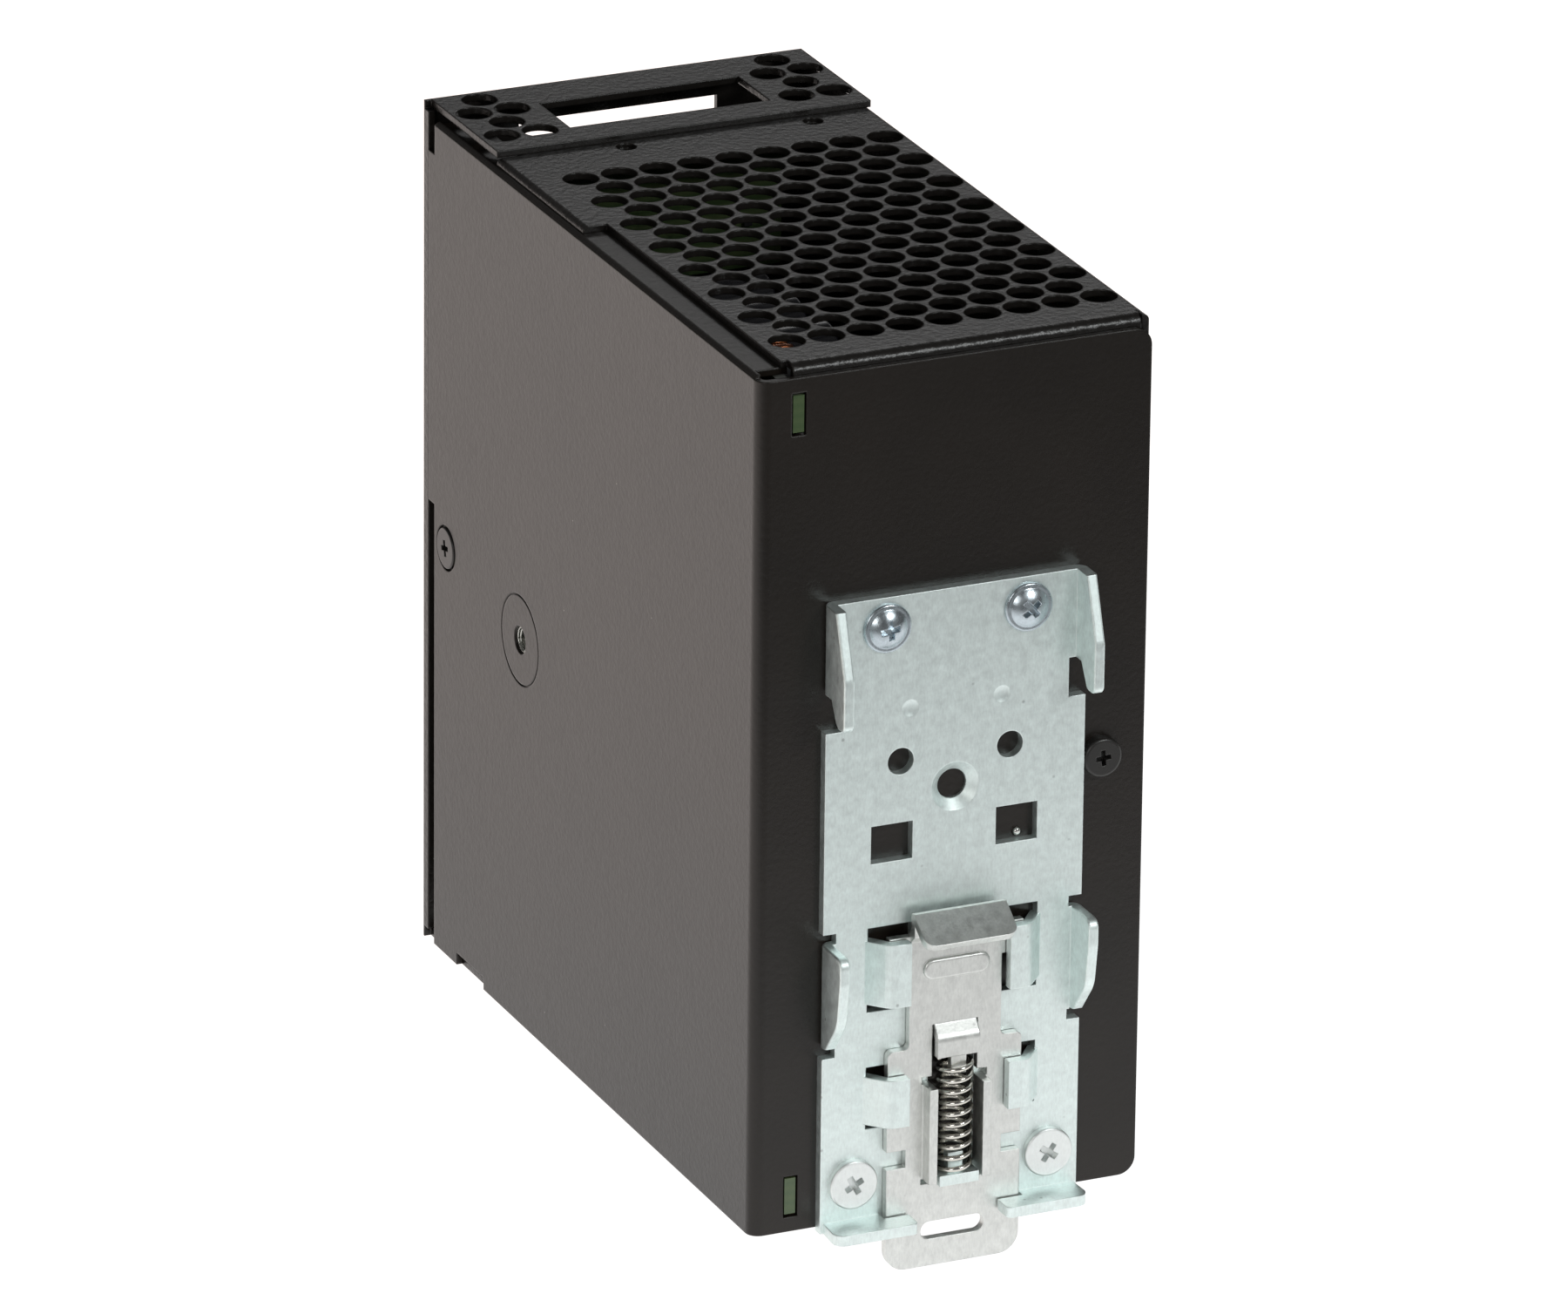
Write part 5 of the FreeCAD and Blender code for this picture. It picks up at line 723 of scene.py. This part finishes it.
along = math_node(tree, "ADD", where.outputs[1], math_node(tree, "MULTIPLY", mottle["Tone"], FADE_WANDER))
fading, far_step = remap(tree, along, *FADE, GLOW, DIM), remap(tree, along, *FAR_STEP, GLOW, 1.0)
glow = math_node(tree, "MULTIPLY", fading, far_step)
aside = math_node(tree, "SUBTRACT", where.outputs[0], where.outputs[1])
tint = mix_colour(tree, remap(tree, aside, *WARM_BAND), NEUTRAL, WARM)
tree.links.new(tint, shader.inputs["Emission Color"])
tree.links.new(glow, shader.inputs["Emission Strength"])
floor.data.materials.append(finishes["floor_white"])
print("floor glow", GLOW, "fading to", DIM)

# %% [markdown]
# ## Light
#
# Three soft lamps are enough. The left one is low and grazes the side panel, the right one shines on the
# plated clip from above, and a weak strip on the far side draws a line of light on the top edges. Area
# lamps are used because their size is what softens a highlight: a spot would leave hard dots on the domed
# screws. A weak even surrounding light keeps the deep holes from going fully black.


# %% A soft lamp
def soft_light(name, spot, aim, width, height, watts, colour=(1.0, 1.0, 1.0)):
    """A rectangular lamp that faces a point."""
    lamp = bpy.data.lights.new(name, "AREA")
    lamp.shape = "RECTANGLE"
    lamp.size, lamp.size_y = width, height
    lamp.energy = watts
    lamp.color = colour
    holder = bpy.data.objects.new(name, lamp)
    holder.rotation_mode = "QUATERNION"
    holder.location = spot
    holder.rotation_quaternion = (Vector(aim) - Vector(spot)).to_track_quat("-Z", "Y")
    bpy.context.scene.collection.objects.link(holder)
    print(name, watts, "W")


CASE_MIDDLE = (0.0, -0.055, 0.0)
soft_light("left_key", (0.9, 1.1, 0.50), CASE_MIDDLE, 0.5, 0.6, 3.6, (1.0, 0.99, 0.97))
soft_light("right_fill", (-0.58, 1.12, 0.80), CASE_MIDDLE, 0.40, 0.26, 8.0, (0.97, 1.0, 1.0))
soft_light("far_strip", (-0.85, -1.25, 0.95), CASE_MIDDLE, 1.0, 0.35, 2.0)

# %% The surrounding light
SURROUND = (1.0, 0.985, 0.97, 1.0)
SURROUND_STRENGTH = 0.12
world = bpy.data.worlds.new("studio")
world.use_nodes = True
bpy.context.scene.world = world
backdrop = next(n for n in world.node_tree.nodes if n.type == "BACKGROUND")
backdrop.inputs["Color"].default_value = SURROUND
backdrop.inputs["Strength"].default_value = SURROUND_STRENGTH
print("surrounding light", SURROUND_STRENGTH)

# %% [markdown]
# ## The camera
#
# The view is from behind and above, with the side panel in front on the left. A camera can be aimed by a
# Track To constraint, but its own axes worked out from two angles say exactly where it looks, and leave
# room for the half degree that it is tipped sideways. It stands far away with a long lens, so that the
# upright edges stay almost parallel.

# %% A long lens behind the clip
AZIMUTH, ELEVATION, ROLL = math.radians(155.778), math.radians(21.562), math.radians(0.634)
AIM = Vector((0.00007, -0.05586, 0.00040))
DISTANCE = 1.8462
FOCAL_MM, SENSOR_MM = 309.8, 36.0
NEAR_CLIP, FAR_CLIP = 0.05, 50.0
back = Vector((math.sin(AZIMUTH) * math.cos(ELEVATION), -math.cos(AZIMUTH) * math.cos(ELEVATION),
               math.sin(ELEVATION)))
lens = bpy.data.cameras.new("camera")
lens.lens, lens.sensor_width = FOCAL_MM, SENSOR_MM
lens.clip_start, lens.clip_end = NEAR_CLIP, FAR_CLIP
camera = bpy.data.objects.new("camera", lens)
right = Vector((0.0, 0.0, 1.0)).cross(back).normalized()
up = back.cross(right)
rolled_right = right * math.cos(ROLL) + up * math.sin(ROLL)
rolled_up = up * math.cos(ROLL) - right * math.sin(ROLL)
turn = Matrix((rolled_right, rolled_up, back)).transposed().to_4x4()
camera.matrix_world = Matrix.Translation(AIM + back * DISTANCE) @ turn
bpy.context.scene.collection.objects.link(camera)
bpy.context.scene.camera = camera
bpy.context.scene.view_settings.view_transform = "Standard"
print("camera at", [round(v, 3) for v in camera.location])
